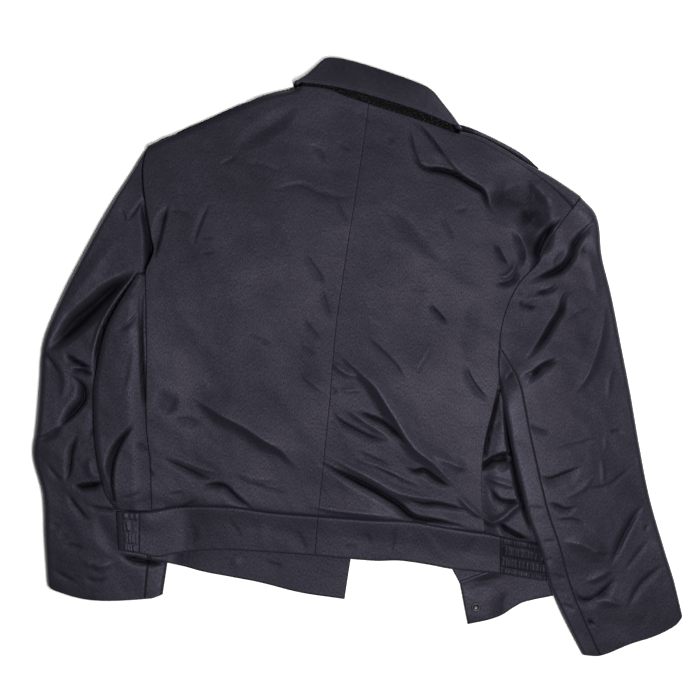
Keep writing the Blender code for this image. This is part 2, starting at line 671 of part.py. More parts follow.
def front_right(underside, upper, lay):
    """The right front on the table, turned up over the shoulder to the back's shoulder seam."""
    body_edge = smooth_line([(x - 4, y) for x, y in EDGE_RIGHT[::-1]])
    side = np.vstack([body_edge, smooth_line(ARMHOLE_RIGHT[::-1])])
    hem = smooth_line(TAB_RIGHT_TOP)
    side[0] = hem[-1]
    centre = joined(FRONT_EDGE_RIGHT[::-1], NECK_FRONT_RIGHT[::-1])
    us, vs = (shares_for(size, FRONT_CELL) for size in FRONT_RIGHT_SIZE)
    edge_at = along(smooth_line(SHOULDER_RIGHT_EDGE), us)
    seam_at = along(smooth_line(SHOULDER_RIGHT), us)
    width = np.linalg.norm(seam_at - edge_at, axis=1)
    inward = (seam_at - edge_at) / width[:, None]
    reach = np.minimum(EDGE_REACH, 0.9 * width)
    top = edge_at + inward * reach[:, None]
    centre[-1], side[-1] = top[0], top[-1]
    plan = coons(hem, top, centre, side, us, vs)
    flat = with_height(plan, underside(plan[..., 0], plan[..., 1]))
    lay(flat + (0, 0, CLOTH))
    high = upper(seam_at[:, 0], seam_at[:, 1])
    turn = turned_edge(edge_at, inward, reach, high, flat[-1, :, 2], (-55, -20, 15, 50))
    last = with_height(seam_at - inward * SEAM_GAP, high)
    return np.concatenate([flat, turn.transpose(1, 0, 2), last[None]], axis=0)


def band(top_line, hem, height):
    """A strip of the waistband between its upper seam and its hem, from left to right."""
    hem_line = smooth_line(hem)
    shares = shares_for(line_length(hem_line), BAND_CELL)
    plan = ruled(hem_line, top_line, np.linspace(0.0, 1.0, 6), shares).transpose(1, 0, 2)
    grid = parted(with_height(plan, height(plan[..., 0], plan[..., 1])), ("u0", "u1"))
    return parted(grid, ("v1",), 2 * SEAM_GAP)


def half_back(bottom, top, left, right, upper):
    us, vs = (shares_for(size, BODY_CELL) for size in BACK_SIZE)
    plan = coons(bottom, top, left, right, us, vs)
    return with_height(plan, upper(plan[..., 0], plan[..., 1]))


def build():
    navy = surface_material("navy gabardine", (0.036, 0.034, 0.048), 0.72)
    felt = surface_material("collar felt", (0.012, 0.011, 0.016), 0.95)
    metal = surface_material("oxidised brass", (0.02, 0.019, 0.022), 0.45, 0.7)
    all_round = ("u0", "u1", "v0", "v1")
    table = Table()

    for name, edge in (("epaulette_left", STRAP_LEFT), ("epaulette_right", STRAP_RIGHT)):
        grid = strap(edge)
        wall(name, grid, navy, "above")
        table.lay(grid + (0, 0, CLOTH))

    r, h = BUTTON_RADIUS, BUTTON_HEIGHT
    turned("button", [(r * a, h * b) for a, b in BUTTON_PROFILE], (*BUTTON_PLACE, 0.0), metal)
    x, y = BUTTON_PLACE
    table.lay(np.array([[(x - r, y - r, h), (x + r, y - r, h)], [(x - r, y + r, h), (x + r, y + r, h)]]))

    # The left sleeve lies on the table, and the body on it from the armpit down.
    under, top, row = sleeve(
        SLEEVE_LEFT, SLEEVE_HEAD_LEFT, CUFF_LEFT, on_table, loft, SLEEVE_LEFT_FOLDS, HEAD_FROM_LEFT
    )
    wall("sleeve_left_under", under, navy, "above", ("u0", "u1"))
    wall("sleeve_left_top", top, navy, "below", ("u0", "u1"))
    covered = int(np.argmax(row[:, 3] < ARMHOLE_LEFT[-1][1] - 4.0))
    table.lay(under)
    table.lay(top[covered:])

    # The fronts and their waistbands.
    underside = resting_on(table.cover())
    grid = front_left(underside)
    wall("front_left", parted(grid, ("u0", "v0")), navy, "above", all_round)
    table.lay(grid + (0, 0, CLOTH))
    cover = None

    def upper(x, y):
        """The back's upper surface: its own loft and folds, never nearer than a clear layer."""
        own = loft(x, y) + fold_height(x, y, BODY_FOLDS)
        return smooth_max(own, cover(x, y) + CLOTH + pleat_room(x, y))

    cover = underside
    grid = front_right(underside, upper, table.lay)
    wall("front_right", parted(grid, ("u1", "v0")), navy, "above", all_round)
    seam = smooth_line([(EDGE_LEFT[-1][0] + 4, EDGE_LEFT[-1][1]), *TAB_LEFT_TOP])
    first = int(np.argmin(np.abs(seam[:, 0] - TAB_LEFT_TOP[0][0])))
    grid = band(seam[first:], TAB_LEFT_HEM, underside)
    wall("waistband_front_left", grid, navy, "above", all_round)
    table.lay(grid + (0, 0, CLOTH))
    grid = band(smooth_line(TAB_RIGHT_TOP), TAB_RIGHT_HEM, underside)
    wall("waistband_front_right", grid, navy, "above", all_round)
    table.lay(grid + (0, 0, CLOTH))

    r, h = BACKING_RADIUS, BACKING_HEIGHT
    seat = float(underside(*BUTTON_PLACE)) + CLOTH + SEAM_GAP
    turned("button_backing", [(r * a, h * b) for a, b in BACKING_PROFILE], (*BUTTON_PLACE, seat), metal)

    # The back, its sides and its waistband lie over the fronts.
    ends_left = [end[::-1] for end in ELASTIC_LEFT_ENDS]
    table.lay(elastic_tail(ends_left, underside, ELASTIC_LEFT_TAIL) + (0, 0, CLOTH))
    cover = resting_on(table.cover(12.0))
    waist = joined(WAIST_LEFT)
    first = int(np.argmin(np.abs(waist[:, 0] - PLEAT_LEFT[-1][0])))
    sides = np.vstack([smooth_line(PLEAT_LEFT[::-1]), smooth_line(ARMHOLE_LEFT[::-1])])
    centre = smooth_line(CENTRE_BACK[::-1])
    shoulder = smooth_line(SHOULDER_LEFT)
    grid = half_back(waist[first:], joined(SHOULDER_LEFT, NECK_BACK_LEFT), sides, centre, upper)
    away = distance_to(shoulder, grid[..., 0], grid[..., 1])
    drop = np.sqrt(1 - (1 - np.clip(away / SHOULDER_ROUND, 0.0, 1.0)) ** 2)
    low = cover(grid[..., 0], grid[..., 1]) + CLOTH
    grid[..., 2] = low + (grid[..., 2] - low) * drop
    wall("back_left", parted(grid, ("u0", "u1", "v0")), navy, "below", all_round)
    grid = side_panel(PLEAT_LEFT, EDGE_LEFT, upper, cover)
    wall("side_left", grid, navy, "below", ("u0", "v0", "v1"))
    grid = band(waist, HEM_LEFT, upper)
    wall("waistband_back_left", grid, navy, "below", all_round)

    over = Table()
    waist = joined(WAIST_RIGHT)
    last = int(np.argmin(np.abs(waist[:, 0] - PLEAT_RIGHT[-1][0]))) + 1
    sides = np.vstack([smooth_line(PLEAT_RIGHT[::-1]), smooth_line(ARMHOLE_RIGHT[::-1])])
    grid = half_back(waist[:last], joined(NECK_BACK_RIGHT, SHOULDER_RIGHT), centre, sides, upper)
    wall("back_right", parted(grid, all_round), navy, "below", all_round)
    grid = side_panel(PLEAT_RIGHT, EDGE_RIGHT, upper, cover)
    wall("side_right", grid, navy, "below", ("u0", "v0", "v1"))
    over.lay(grid)
    grid = band(waist, HEM_RIGHT, upper)
    wall("waistband_back_right", grid, navy, "below", all_round)
    over.lay(grid)

    grid = elastic_end(ends_left, upper, underside, ELASTIC_LEFT_TAIL)
    wall("elastic_left", grid, navy, "below", all_round)
    grid = elastic_end(ELASTIC_RIGHT_ENDS, upper, underside, ELASTIC_RIGHT_TAIL)
    wall("elastic_right", grid, navy, "below", all_round)
    over.lay(grid)

    # The right sleeve lies on the side of the body and falls to the table beyond it.
    over_body = resting_on(over.cover(18.0))
    armhole = [SLEEVE_RIGHT[0][:2], *[(x + CURVED_SEAM_GAP, y) for x, y in ARMHOLE_RIGHT]]
    under, top, _ = sleeve(
        SLEEVE_RIGHT, armhole, CUFF_RIGHT, over_body, upper, SLEEVE_RIGHT_FOLDS, HEAD_FROM_RIGHT
    )
    wall("sleeve_right_under", under, navy, "above", ("u0", "u1"))
    wall("sleeve_right_top", top, navy, "below", ("u0", "u1"))

    # The collar's fall stands off the back more towards the right; its stand rises from the neck seam.
    def fall_lift(x, y, v):
        share = (x - COLLAR_X[0]) / (COLLAR_X[1] - COLLAR_X[0])
        stand_off = FALL_OFF_LEFT + FALL_OFF_GAIN * smooth_step(share)
        return upper(x, y) + CLOTH + FALL_CLEAR + stand_off * (1 - v) ** 1.5

    def stand_lift(x, y, v):
        return upper(x, y) - STAND_SINK * v

    fall = collar_layer(smooth_line(FALL_FREE), fall_lift, 0.0, 0.0)
    wall("collar_fall", fall, navy, "above", ("u0", "u1"))
    neck = joined(NECK_BACK_LEFT, NECK_BACK_RIGHT)
    stand = collar_layer(neck, stand_lift, STAND_INSET, CLOTH + 2 * SEAM_GAP)
    wall("collar_stand", parted(stand, ("v0",), CURVED_SEAM_GAP), felt, "above", ("u0", "u1", "v0"))


for old in list(bpy.data.objects):
    bpy.data.objects.remove(old, do_unlink=True)
COLLECTION = bpy.data.collections.new("ike jacket")
bpy.context.scene.collection.children.link(COLLECTION)
build()
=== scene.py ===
"""An ike jacket laid flat with its back up: cloth, folds, stitching, buttons, camera and light."""

import json
import math

import bmesh
import bpy
import numpy as np
from mathutils import Matrix, Vector

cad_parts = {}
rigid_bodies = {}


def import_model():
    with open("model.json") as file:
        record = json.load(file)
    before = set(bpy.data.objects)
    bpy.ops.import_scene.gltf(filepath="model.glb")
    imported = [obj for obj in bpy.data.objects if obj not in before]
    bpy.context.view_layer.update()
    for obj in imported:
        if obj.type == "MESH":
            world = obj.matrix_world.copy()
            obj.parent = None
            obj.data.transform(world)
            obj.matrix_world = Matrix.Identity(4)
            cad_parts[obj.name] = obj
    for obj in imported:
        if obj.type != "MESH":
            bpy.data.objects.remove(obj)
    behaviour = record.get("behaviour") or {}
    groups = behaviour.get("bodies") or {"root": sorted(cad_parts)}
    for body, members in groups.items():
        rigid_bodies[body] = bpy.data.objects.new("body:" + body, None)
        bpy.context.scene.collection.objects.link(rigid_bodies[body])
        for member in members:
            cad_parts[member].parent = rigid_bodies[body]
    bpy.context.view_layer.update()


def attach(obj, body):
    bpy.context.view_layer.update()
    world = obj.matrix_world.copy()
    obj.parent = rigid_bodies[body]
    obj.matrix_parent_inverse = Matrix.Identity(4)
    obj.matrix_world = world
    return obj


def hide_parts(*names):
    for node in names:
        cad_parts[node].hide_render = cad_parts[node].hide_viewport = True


for old in list(bpy.data.objects):
    bpy.data.objects.remove(old, do_unlink=True)
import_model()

MM = 0.001

# Cloth of the solids and clearances; lengths are in millimetres from here to the cuts
CLOTH = 1.8
SEAM_GAP = 0.1
CURVED_SEAM_GAP = 0.3
LAY_GAP = 0.9
PLEAT_LAP = 8.0
PLEAT_BLEND = 24.0
EDGE_REACH = 8.0
SHOULDER_ROUND = 10.0
NARROW_SIDE = 30.0
EDGE_SHARE = 0.4
LAP_FADE = 0.12

# Grid of the cloth: length of a cell, and the distances of the closer points beside a seam
BODY_CELL = 2.0
FRONT_CELL = 7.0
SLEEVE_CELL = 2.2
BAND_CELL = 2.0
COLLAR_CELL = 1.8
ELASTIC_CELL = 1.1
SEAM_STEPS = (0.5, 1.3, 2.3)

# How far the fronts' sides lie inside the back's
FRONT_INSET = 4

# Width and length that set the number of cells across a piece
BACK_SIZE = (250, 560)
FRONT_LEFT_SIZE = (290, 540)
FRONT_RIGHT_SIZE = (270, 540)

# How far the cloth keeps its height past what lies below it: the fronts, the back, the right sleeve
DRAPE_REACH = 15.0
DRAPE_BODY = 12.0
DRAPE_SLEEVE = 18.0

# Seams and edges of the body in plan: (x, y), from the collar down
CENTRE_BACK = [(-48, 313), (-49, 254), (-51, 202), (-55, 97), (-57, 18), (-54, -74), (-52, -226)]
PLEAT_LEFT = [(-309, 62), (-296, -36), (-285, -133), (-275, -180), (-266, -243)]
PLEAT_RIGHT = [(160, -36), (157, -62), (152, -102), (152, -138), (157, -180), (166, -223)]
EDGE_LEFT = [
    (-319, 62), (-339, 18), (-351, -16), (-357, -64),
    (-358, -96), (-349, -160), (-330, -223), (-312, -246),
]
EDGE_RIGHT = [(176, -36), (200, -47), (222, -80), (236, -130), (245, -180), (262, -229)]
ARMHOLE_LEFT = [(-326, 226), (-328, 195), (-320, 155), (-307, 110), (-302, 92), (-309, 67)]
ARMPIT_LEFT = (-298, 68)
SLEEVE_HEAD_LEFT = [(-327, 227), (-329, 195), (-321, 155), (-308, 110), (-302, 95), (-286, 78)]
ARMHOLE_RIGHT = [(229, 209), (204, 165), (190, 131), (172, 105), (161, 75), (156, 42), (157, 3), (161, -20)]
SHOULDER_LEFT = [(-326, 226), (-309, 238), (-285, 250), (-256, 267), (-214, 291), (-187, 308), (-145, 325)]
SHOULDER_RIGHT = [(72, 288), (95, 284), (129, 271), (171, 251), (204, 230), (229, 209)]
SHOULDER_RIGHT_EDGE = [(73, 292), (98, 289), (132, 276), (166, 260), (180, 255), (208, 243), (240, 226)]
NECK_BACK_LEFT = [(-145, 325), (-125, 327), (-100, 326), (-80, 320), (-48, 313)]
NECK_BACK_RIGHT = [(-48, 313), (5, 303), (48, 294), (72, 288)]
NECK_FRONT_LEFT = [(-145, 324), (-104, 301), (-50, 291)]
NECK_FRONT_RIGHT = [(72, 289), (42, 273), (-2, 266)]
FRONT_EDGE_LEFT = [(-50, 291), (-38, 120), (-20, -90), (-3, -273)]
FRONT_EDGE_RIGHT = [(-2, 266), (40, 110), (92, -90), (124, -262), (142, -293)]

# Waistband in plan, from the left to the right of the wearer
WAIST_LEFT = [(-282, -246), (-266, -243), (-232, -234), (-167, -227), (-114, -228), (-52, -226)]
WAIST_RIGHT = [(-52, -226), (16, -223), (68, -219), (107, -221), (147, -223), (166, -223), (186, -225)]
HEM_LEFT = [(-276, -299), (-252, -301), (-225, -293), (-167, -283), (-121, -280), (-50, -277)]
HEM_RIGHT = [(-50, -277), (28, -275), (61, -271), (100, -272), (126, -274), (192, -273)]
ELASTIC_LEFT_ENDS = [[(-312, -248), (-282, -246)], [(-303, -298), (-276, -299)]]
ELASTIC_RIGHT_ENDS = [[(186, -225), (264, -230)], [(192, -273), (270, -277)]]
TAB_LEFT_TOP = [(-268, -248), (-243, -248), (-163, -260), (-70, -270), (-3, -273)]
TAB_LEFT_HEM = [
    (-262, -306), (-236, -308), (-196, -315), (-157, -318), (-117, -321), (-64, -328), (-5, -330),
]
TAB_RIGHT_TOP = [(142, -293), (191, -269), (228, -250), (263, -231)]
TAB_RIGHT_HEM = [(158, -344), (198, -329), (216, -315), (228, -307), (266, -294)]

# Collar in plan: the fall's free edge, its fold and its two turned ends
FALL_FREE = [(-149, 330), (-107, 330), (-80, 328), (-34, 321), (20, 310), (63, 298), (76, 296)]
COLLAR_FOLD = [(-115, 364), (-105, 368), (-85, 368), (-38, 360), (22, 345), (38, 336)]
COLLAR_END_LEFT = [(-149, 330), (-134, 342), (-115, 364)]
COLLAR_END_RIGHT = [(76, 296), (62, 312), (38, 336)]
COLLAR_FRONT_ENDS = [[(-50, 294), (-50, 352)], [(-2, 269), (0, 336)]]
COLLAR_X = (-147.0, 73.0)

# The collar's depth and the columns of its front ends; the stand's place inside the fall, at the fold and
# the ends as shares of its inset; how far the fall stands off the back, everywhere and at its free edge:
# on the left, and how much more on the right
COLLAR_DEPTH = 34.0
COLLAR_FRONT_COLUMNS = 18
STAND_INSET = 4.5
STAND_SINK = 2.0
FOLD_INSET = 0.3
END_DRAWN = 1.2
END_FADE = 24.0
FALL_CLEAR = 1.4
FALL_OFF = (4.0, 4.5)

# Shoulder straps in plan: the edge that shows beyond the shoulder, and how far they reach under it
STRAP_LEFT = [(-292, 250), (-262, 266), (-232, 284), (-200, 303)]
STRAP_RIGHT = [(70, 303), (80, 301), (118, 289), (155, 274), (182, 258)]
STRAP_WIDTH = 46.0

# Heights of the body's upper layer above the table, a row for each level of the back
LOFT_X = (-330, -200, -54, 90, 200)
LOFT = (
    # y, left side, left half, centre, right half, right side
    (-300, 19, 9, 7, 7, 7),
    (-225, 22, 12, 9, 10, 10),
    (-110, 23, 15, 12, 13, 12),
    (40, 20, 15, 13, 15, 13),
    (180, 15, 15, 14, 17, 19),
    (330, 10, 13, 14, 13, 12),
)

# Folds in plan, troughs below nought and crests above it. Each row: rise, reach to the left of the path
# and to its right, sharpness of the crest, and the path from its start to its end
BODY_FOLDS = (
    (-1.6, 18, 18, 0, ((-217, 230), (-196, 250), (-174, 267), (-155, 284), (-136, 304))),
    (-0.9, 2.4, 8.4, 0.59, ((-231, 214), (-209, 227))),
    (-1, 2.4, 7, 0.65, ((-203, 219), (-179, 220), (-162, 216), (-145, 206))),
    (-4.7, 3.2, 14, 0.41, ((-290, 157), (-295, 121), (-299, 81))),
    (-0.8, 2.4, 7, 0.59, ((-295, 147), (-278, 148), (-258, 142))),
    (-1.1, 2.4, 8.4, 0.59, ((-236, 167), (-247, 129), (-252, 100))),
    (-0.7, 2.4, 5.6, 0.65, ((-247, 116), (-226, 119))),
    (-0.7, 2.4, 5.6, 0.65, ((-243, 97), (-222, 101))),
    (-1.5, 3.6, 15.4, 0.71, (
        (-165, 186), (-150, 193), (-122, 200), (-101, 193), (-91, 192), (-71, 190), (-49, 194),
    )),
    (-1.2, 2.4, 8.4, 0.77, ((-80, 188), (-62, 165), (-52, 158))),
    (-1.1, 2.8, 9.8, 0.53, ((-118, 255), (-103, 245), (-93, 229))),
    (-1.1, 2.4, 8.4, 0.65, ((-83, 262), (-72, 255), (-62, 250))),
    (-0.7, 2.4, 8.4, 0.59, ((-63, 304), (-52, 297), (-39, 289))),
    (-0.8, 3.2, 11.2, 0.47, ((-21, 276), (-7, 269))),
    (-2, 14, 16, 0.5, ((-26, 194), (2, 172), (22, 155), (54, 131), (74, 120))),
    (-3.2, 3.2, 14, 0.65, ((-2, 308), (25, 289), (44, 271), (69, 245), (95, 226))),
    (-2.3, 2.4, 8.4, 0.59, ((3, 295), (11, 277), (18, 259), (29, 240), (44, 233))),
    (-8.5, 3.2, 12.6, 0.59, (
        (16, 256), (25, 244), (37, 239), (54, 240), (72, 237),
        (95, 227), (112, 218), (123, 199), (134, 185),
    )),
    (2, 9, 10, 0.41, ((31, 263), (59, 253), (83, 241))),
    (-7, 36, 32, 0, ((105, 212), (143, 204), (178, 206), (200, 200))),
    (-5.6, 28, 24, 0, ((149, 193), (184, 176), (187, 130))),
    (-5.8, 52, 40, 0, ((116, 250), (161, 219), (207, 161))),
    (-3.7, 24, 22, 0, ((163, 205), (187, 179), (185, 135))),
    (1.5, 10, 14, 0.41, ((193, 230), (204, 211), (201, 189))),
    (1.3, 12, 12, 0.49, ((118, 220), (138, 223), (164, 238))),
    (2.4, 14, 10, 0.57, ((167, 240), (191, 222), (202, 202))),
    (-4, 2.4, 11.2, 0.65, ((152, 175), (165, 162), (173, 149), (174, 134), (169, 120))),
    (-3, 8.4, 2.4, 0.65, ((171, 125), (164, 108), (151, 101), (138, 102))),
    (2.4, 6, 6, 0.49, ((140, 111), (153, 111), (162, 121), (164, 137))),
    (-2.8, 2.4, 8.4, 0.59, ((134, 156), (147, 135), (158, 124))),
    (-9.1, 3.6, 12, 0.47, ((219, 197), (207, 182), (199, 165), (194, 149), (192, 135), (183, 120))),
    (-0.9, 2.4, 8.4, 0.47, ((76, 189), (96, 195))),
    (-1.1, 2.4, 8.4, 0.53, ((56, 188), (72, 166), (86, 145))),
    (-2, 2.4, 12.6, 0.59, ((112, -2), (127, -28), (154, -55))),
    (-1.1, 16, 16, 0, ((122, 83), (117, 38), (119, -8))),
    (-2.6, 2.4, 9.8, 0.71, ((56, 67), (72, 55), (89, 40))),
    (2.3, 14, 26, 1, ((72, 19), (60, -7), (49, -33))),
    (-1.5, 3.2, 14, 0.71, ((-28, 21), (1, 1), (28, -21), (44, -43))),
    (-0.6, 3.2, 11.2, 0.47, ((26, 85), (59, 83))),
    (-1.2, 2.8, 12.6, 0.59, ((-114, 117), (-90, 92), (-74, 72))),
    (-1, 2.4, 8.4, 0.59, ((-84, 76), (-75, 55), (-61, 26))),
    (-1.3, 3.6, 12.6, 0.83, ((-104, 31), (-86, 13), (-69, 2))),
    (-0.9, 2.4, 7, 0.65, ((-176, 1), (-156, -4), (-130, -12))),
    (-0.7, 2.8, 9.8, 0.53, ((-105, -2), (-90, -12), (-76, -15))),
    (1.8, 10, 7, 0.81, ((-97, -42), (-80, -53), (-60, -66))),
    (6.8, 34, 15, 0.81, (
        (-62, 1), (-38, -19), (-15, -36), (2, -49), (16, -66), (35, -90),
        (50, -110), (65, -125), (87, -138), (113, -159), (136, -176),
    )),
    (2.3, 8, 8, 0.73, ((-60, -22), (-41, -34), (-18, -41))),
    (1.3, 9, 6, 0.89, ((-46, -61), (-29, -58), (-9, -55))),
    (-1.1, 2.4, 8.4, 0.71, ((-56, -55), (-44, -63))),
    (-5, 2.4, 12.6, 0.77, ((-24, -81), (-4, -87), (14, -92), (38, -106), (55, -123))),
    (-2.8, 2.8, 12.6, 0.71, ((-53, -80), (-41, -96), (-20, -106), (6, -115), (32, -117))),
    (2, 9, 8, 0.65, ((-40, -79), (-15, -90), (10, -103), (32, -113))),
    (-0.9, 2.8, 9.8, 0.59, ((-51, -99), (-37, -108))),
    (-5.6, 2.8, 11.2, 0.59, ((51, -149), (64, -152), (78, -149), (93, -157), (117, -170))),
    (2.8, 12, 13, 0.97, ((83, -127), (106, -135), (138, -143))),
    (-1.1, 2.8, 9.8, 0.53, ((-18, -132), (13, -143), (40, -152))),
    (1.8, 7, 8, 0.49, ((-20, -142), (18, -152), (51, -162), (82, -172))),
    (-1.5, 2.8, 9.8, 0.59, ((1, -147), (28, -157), (55, -166))),
    (4, 10, 12, 0.57, ((-56, -142), (-25, -154), (12, -168), (48, -182), (77, -185), (119, -186))),
    (-9.8, 3.2, 14, 0.65, (
        (-69, -149), (-44, -160), (-10, -171), (18, -181),
        (48, -195), (73, -211), (106, -213), (151, -219),
    )),
    (-3.7, 2.4, 8.4, 0.65, ((56, -187), (78, -193), (101, -191), (146, -196))),
    (2.6, 7, 7, 0.57, ((121, -174), (143, -192), (166, -205))),
    (2, 8, 6, 0.57, ((-77, -211), (-24, -215), (54, -214))),
    (5.8, 42, 16, 0.97, (
        (-244, -81), (-197, -106), (-159, -121), (-132, -135), (-111, -144), (-94, -158), (-78, -169),
    )),
    (-2.3, 20, 16, 0, ((-280, -105), (-268, -101), (-246, -109))),
    (-1.1, 4, 14, 0.41, ((-255, -122), (-234, -119), (-212, -122))),
    (-2.8, 2.4, 9.8, 0.65, ((-265, -170), (-245, -177), (-224, -184), (-202, -191), (-187, -192))),
    (1.8, 7, 6, 0.65, ((-259, -165), (-232, -173), (-205, -181), (-182, -185))),
    (-4.4, 3.2, 12.6, 0.59, ((-211, -208), (-195, -200), (-177, -199), (-158, -213), (-133, -227))),
    (-1, 2.4, 7, 0.65, ((-150, -191), (-115, -197), (-84, -200))),
    (-1.3, 2.8, 9.8, 0.53, ((-276, -167), (-276, -188), (-264, -200))),
    (-0.9, 2.4, 11.2, 0.53, ((-249, -218), (-224, -212))),
    (-2, 2.4, 8.4, 0.65, ((-241, -239), (-219, -227), (-207, -221))),
    (1.3, 12, 10, 0.33, ((-170, -179), (-139, -185), (-107, -182))),
)
SIDE_LEFT_FOLDS = (
    (-11.1, 2.8, 11.2, 0.44, (
        (-295, -125), (-313, -154), (-322, -183), (-321, -214), (-311, -245), (-289, -279),
    )),
    (-4.4, 2.4, 4.2, 0.65, ((-314, 77), (-311, 28), (-303, -30), (-294, -88), (-281, -147))),
    (1.2, 3, 3, 0.49, ((-311, 67), (-300, -30), (-289, -94))),
    (-4.7, 1.8, 4.8, 0.59, ((-311, 70), (-330, 31), (-346, -10), (-353, -56))),
    (-0.8, 5.6, 19.6, 0.35, ((-317, -12), (-317, -58), (-320, -104))),
    (-2, 2.4, 8.4, 0.65, ((-341, -14), (-326, -7), (-312, 13))),
    (-0.9, 3, 6, 0.59, ((-332, 25), (-318, 40))),
    (-1.3, 3.2, 11.2, 0.53, ((-293, -153), (-281, -168))),
    (-0.9, 2.4, 8.4, 0.59, ((-308, -231), (-292, -224), (-279, -217))),
)
SIDE_RIGHT_FOLDS = (
    (-8.5, 3.2, 12.6, 0.53, ((146, -146), (159, -129), (174, -119), (197, -113))),
    (-4.7, 4.8, 19.6, 0.35, ((162, -130), (182, -124), (196, -129))),
    (-0.7, 3.6, 7.2, 0.53, ((157, -89), (169, -74))),
    (-5.8, 2.4, 5.6, 0.59, ((165, -17), (161, -59), (156, -102), (154, -147))),
    (-7.8, 2.4, 8.4, 0.41, ((164, -33), (177, -73), (189, -111), (201, -149), (216, -189), (234, -230))),
    (-4.7, 2.8, 9.8, 0.53, ((163, -161), (181, -177), (212, -174))),
    (-7.2, 3.2, 12.6, 0.53, ((178, -203), (198, -215), (225, -225))),
    (4.7, 7, 8, 0.49, ((154, -196), (171, -207), (186, -199), (202, -182), (219, -173))),
    (2.4, 7, 7, 0.49, ((154, -149), (178, -154), (205, -159))),
)
BAND_FOLDS = (
    (-1.4, 20, 24, 0, ((-225, -248), (-212, -288))),
    (0.7, 16, 16, 0.25, ((-255, -254), (-244, -294))),
    (-0.6, 3.6, 12.6, 0.53, ((-168, -240), (-156, -252), (-145, -267))),
    (-0.7, 5.6, 19.6, 0.41, ((-79, -244), (-59, -273))),
    (0.6, 14, 14, 0.25, ((-124, -239), (-114, -279))),
    (-0.9, 2.4, 11.2, 0.53, ((51, -224), (50, -245), (48, -266))),
    (0.7, 8, 14, 0.73, ((83, -225), (101, -243), (120, -263))),
    (-0.7, 4.8, 16.8, 0.41, ((-17, -259), (7, -260))),
    (-0.6, 4, 14, 0.47, ((11, -236), (22, -255))),
    (0.6, 10, 10, 0.41, ((69, -230), (70, -262))),
    (-0.7, 6, 14.4, 0.47, ((158, -226), (141, -261))),
)
SLEEVE_LEFT_FOLDS = (
    (-12.3, 19, 17, 0.1, ((-321, 68), (-347, 41), (-371, 13), (-393, -12), (-411, -36), (-431, -57))),
    (-7.8, 2.4, 6, 0.47, ((-315, 72), (-331, 41), (-345, 13), (-356, -17), (-360, -46), (-360, -88))),
    (3.2, 5, 5, 0.57, ((-322, 63), (-343, 27), (-355, -1), (-363, -28), (-368, -60))),
    (-6.5, 2.8, 11.2, 0.53, ((-404, -51), (-388, -60), (-366, -68))),
    (-4.7, 2.4, 8.4, 0.59, ((-396, -75), (-381, -71), (-361, -76))),
    (-9.1, 3.2, 15.4, 0.53, ((-393, -79), (-373, -92), (-370, -110), (-382, -130), (-403, -153))),
    (-3.2, 11.2, 3.2, 0.47, ((-394, -144), (-410, -159), (-430, -171))),
    (-2.3, 2.4, 7, 0.65, ((-434, -45), (-419, -65), (-404, -80))),
    (1.3, 9, 9, 0.49, ((-425, -54), (-408, -67), (-397, -92), (-402, -119))),
    (-4.4, 2.8, 9.8, 0.59, ((-374, -152), (-378, -180), (-378, -203), (-382, -221))),
    (-1.5, 2.4, 7, 0.65, ((-411, -195), (-395, -211), (-382, -220))),
    (-8.5, 2.4, 11.2, 0.59, ((-373, -223), (-354, -218), (-333, -213))),
    (-2.8, 2.4, 8.4, 0.65, ((-380, -230), (-363, -249), (-343, -267))),
    (-2.3, 2.4, 7, 0.59, ((-353, -245), (-332, -247), (-309, -246))),
    (-1.1, 2.4, 7, 0.65, ((-396, -274), (-380, -277))),
    (-1.5, 2.4, 8.4, 0.59, ((-379, -305), (-367, -298), (-344, -302))),
    (-1.5, 2.4, 7, 0.71, ((-388, -332), (-367, -340), (-349, -347))),
    (-1.8, 20, 18, 0, ((-338, -253), (-321, -278), (-311, -307))),
    (-6.5, 2.4, 9.8, 0.47, ((-305, -303), (-282, -307), (-259, -309), (-239, -309))),
    (-1.3, 6, 3, 0.65, ((-342, 125), (-332, 142), (-322, 163))),
    (-0.9, 2.4, 7, 0.59, ((-352, 145), (-341, 125))),
    (-10.4, 3.6, 14, 0.47, ((-323, 177), (-315, 138), (-306, 107), (-307, 78), (-316, 57))),
    (1.3, 18, 18, 0.33, ((-349, 108), (-373, 66), (-402, 17), (-426, -25))),
    (-2, 14, 4, 0.47, ((-360, -161), (-352, -141), (-351, -108))),
    (2.4, 10, 10, 0.49, ((-355, -180), (-350, -202), (-337, -206))),
    (-1.3, 2.8, 9.8, 0.53, ((-345, -336), (-329, -341), (-314, -335))),
    (-0.8, 2.8, 9.8, 0.53, ((-383, -284), (-369, -289))),
    (1.8, 9, 9, 0.41, ((-353, -315), (-326, -321), (-304, -312))),
    (-3.2, 3.2, 14, 0.47, ((-353, -43), (-351, -71), (-355, -98))),
    (-0.9, 2.8, 9.8, 0.47, ((-337, -316), (-328, -330))),
)
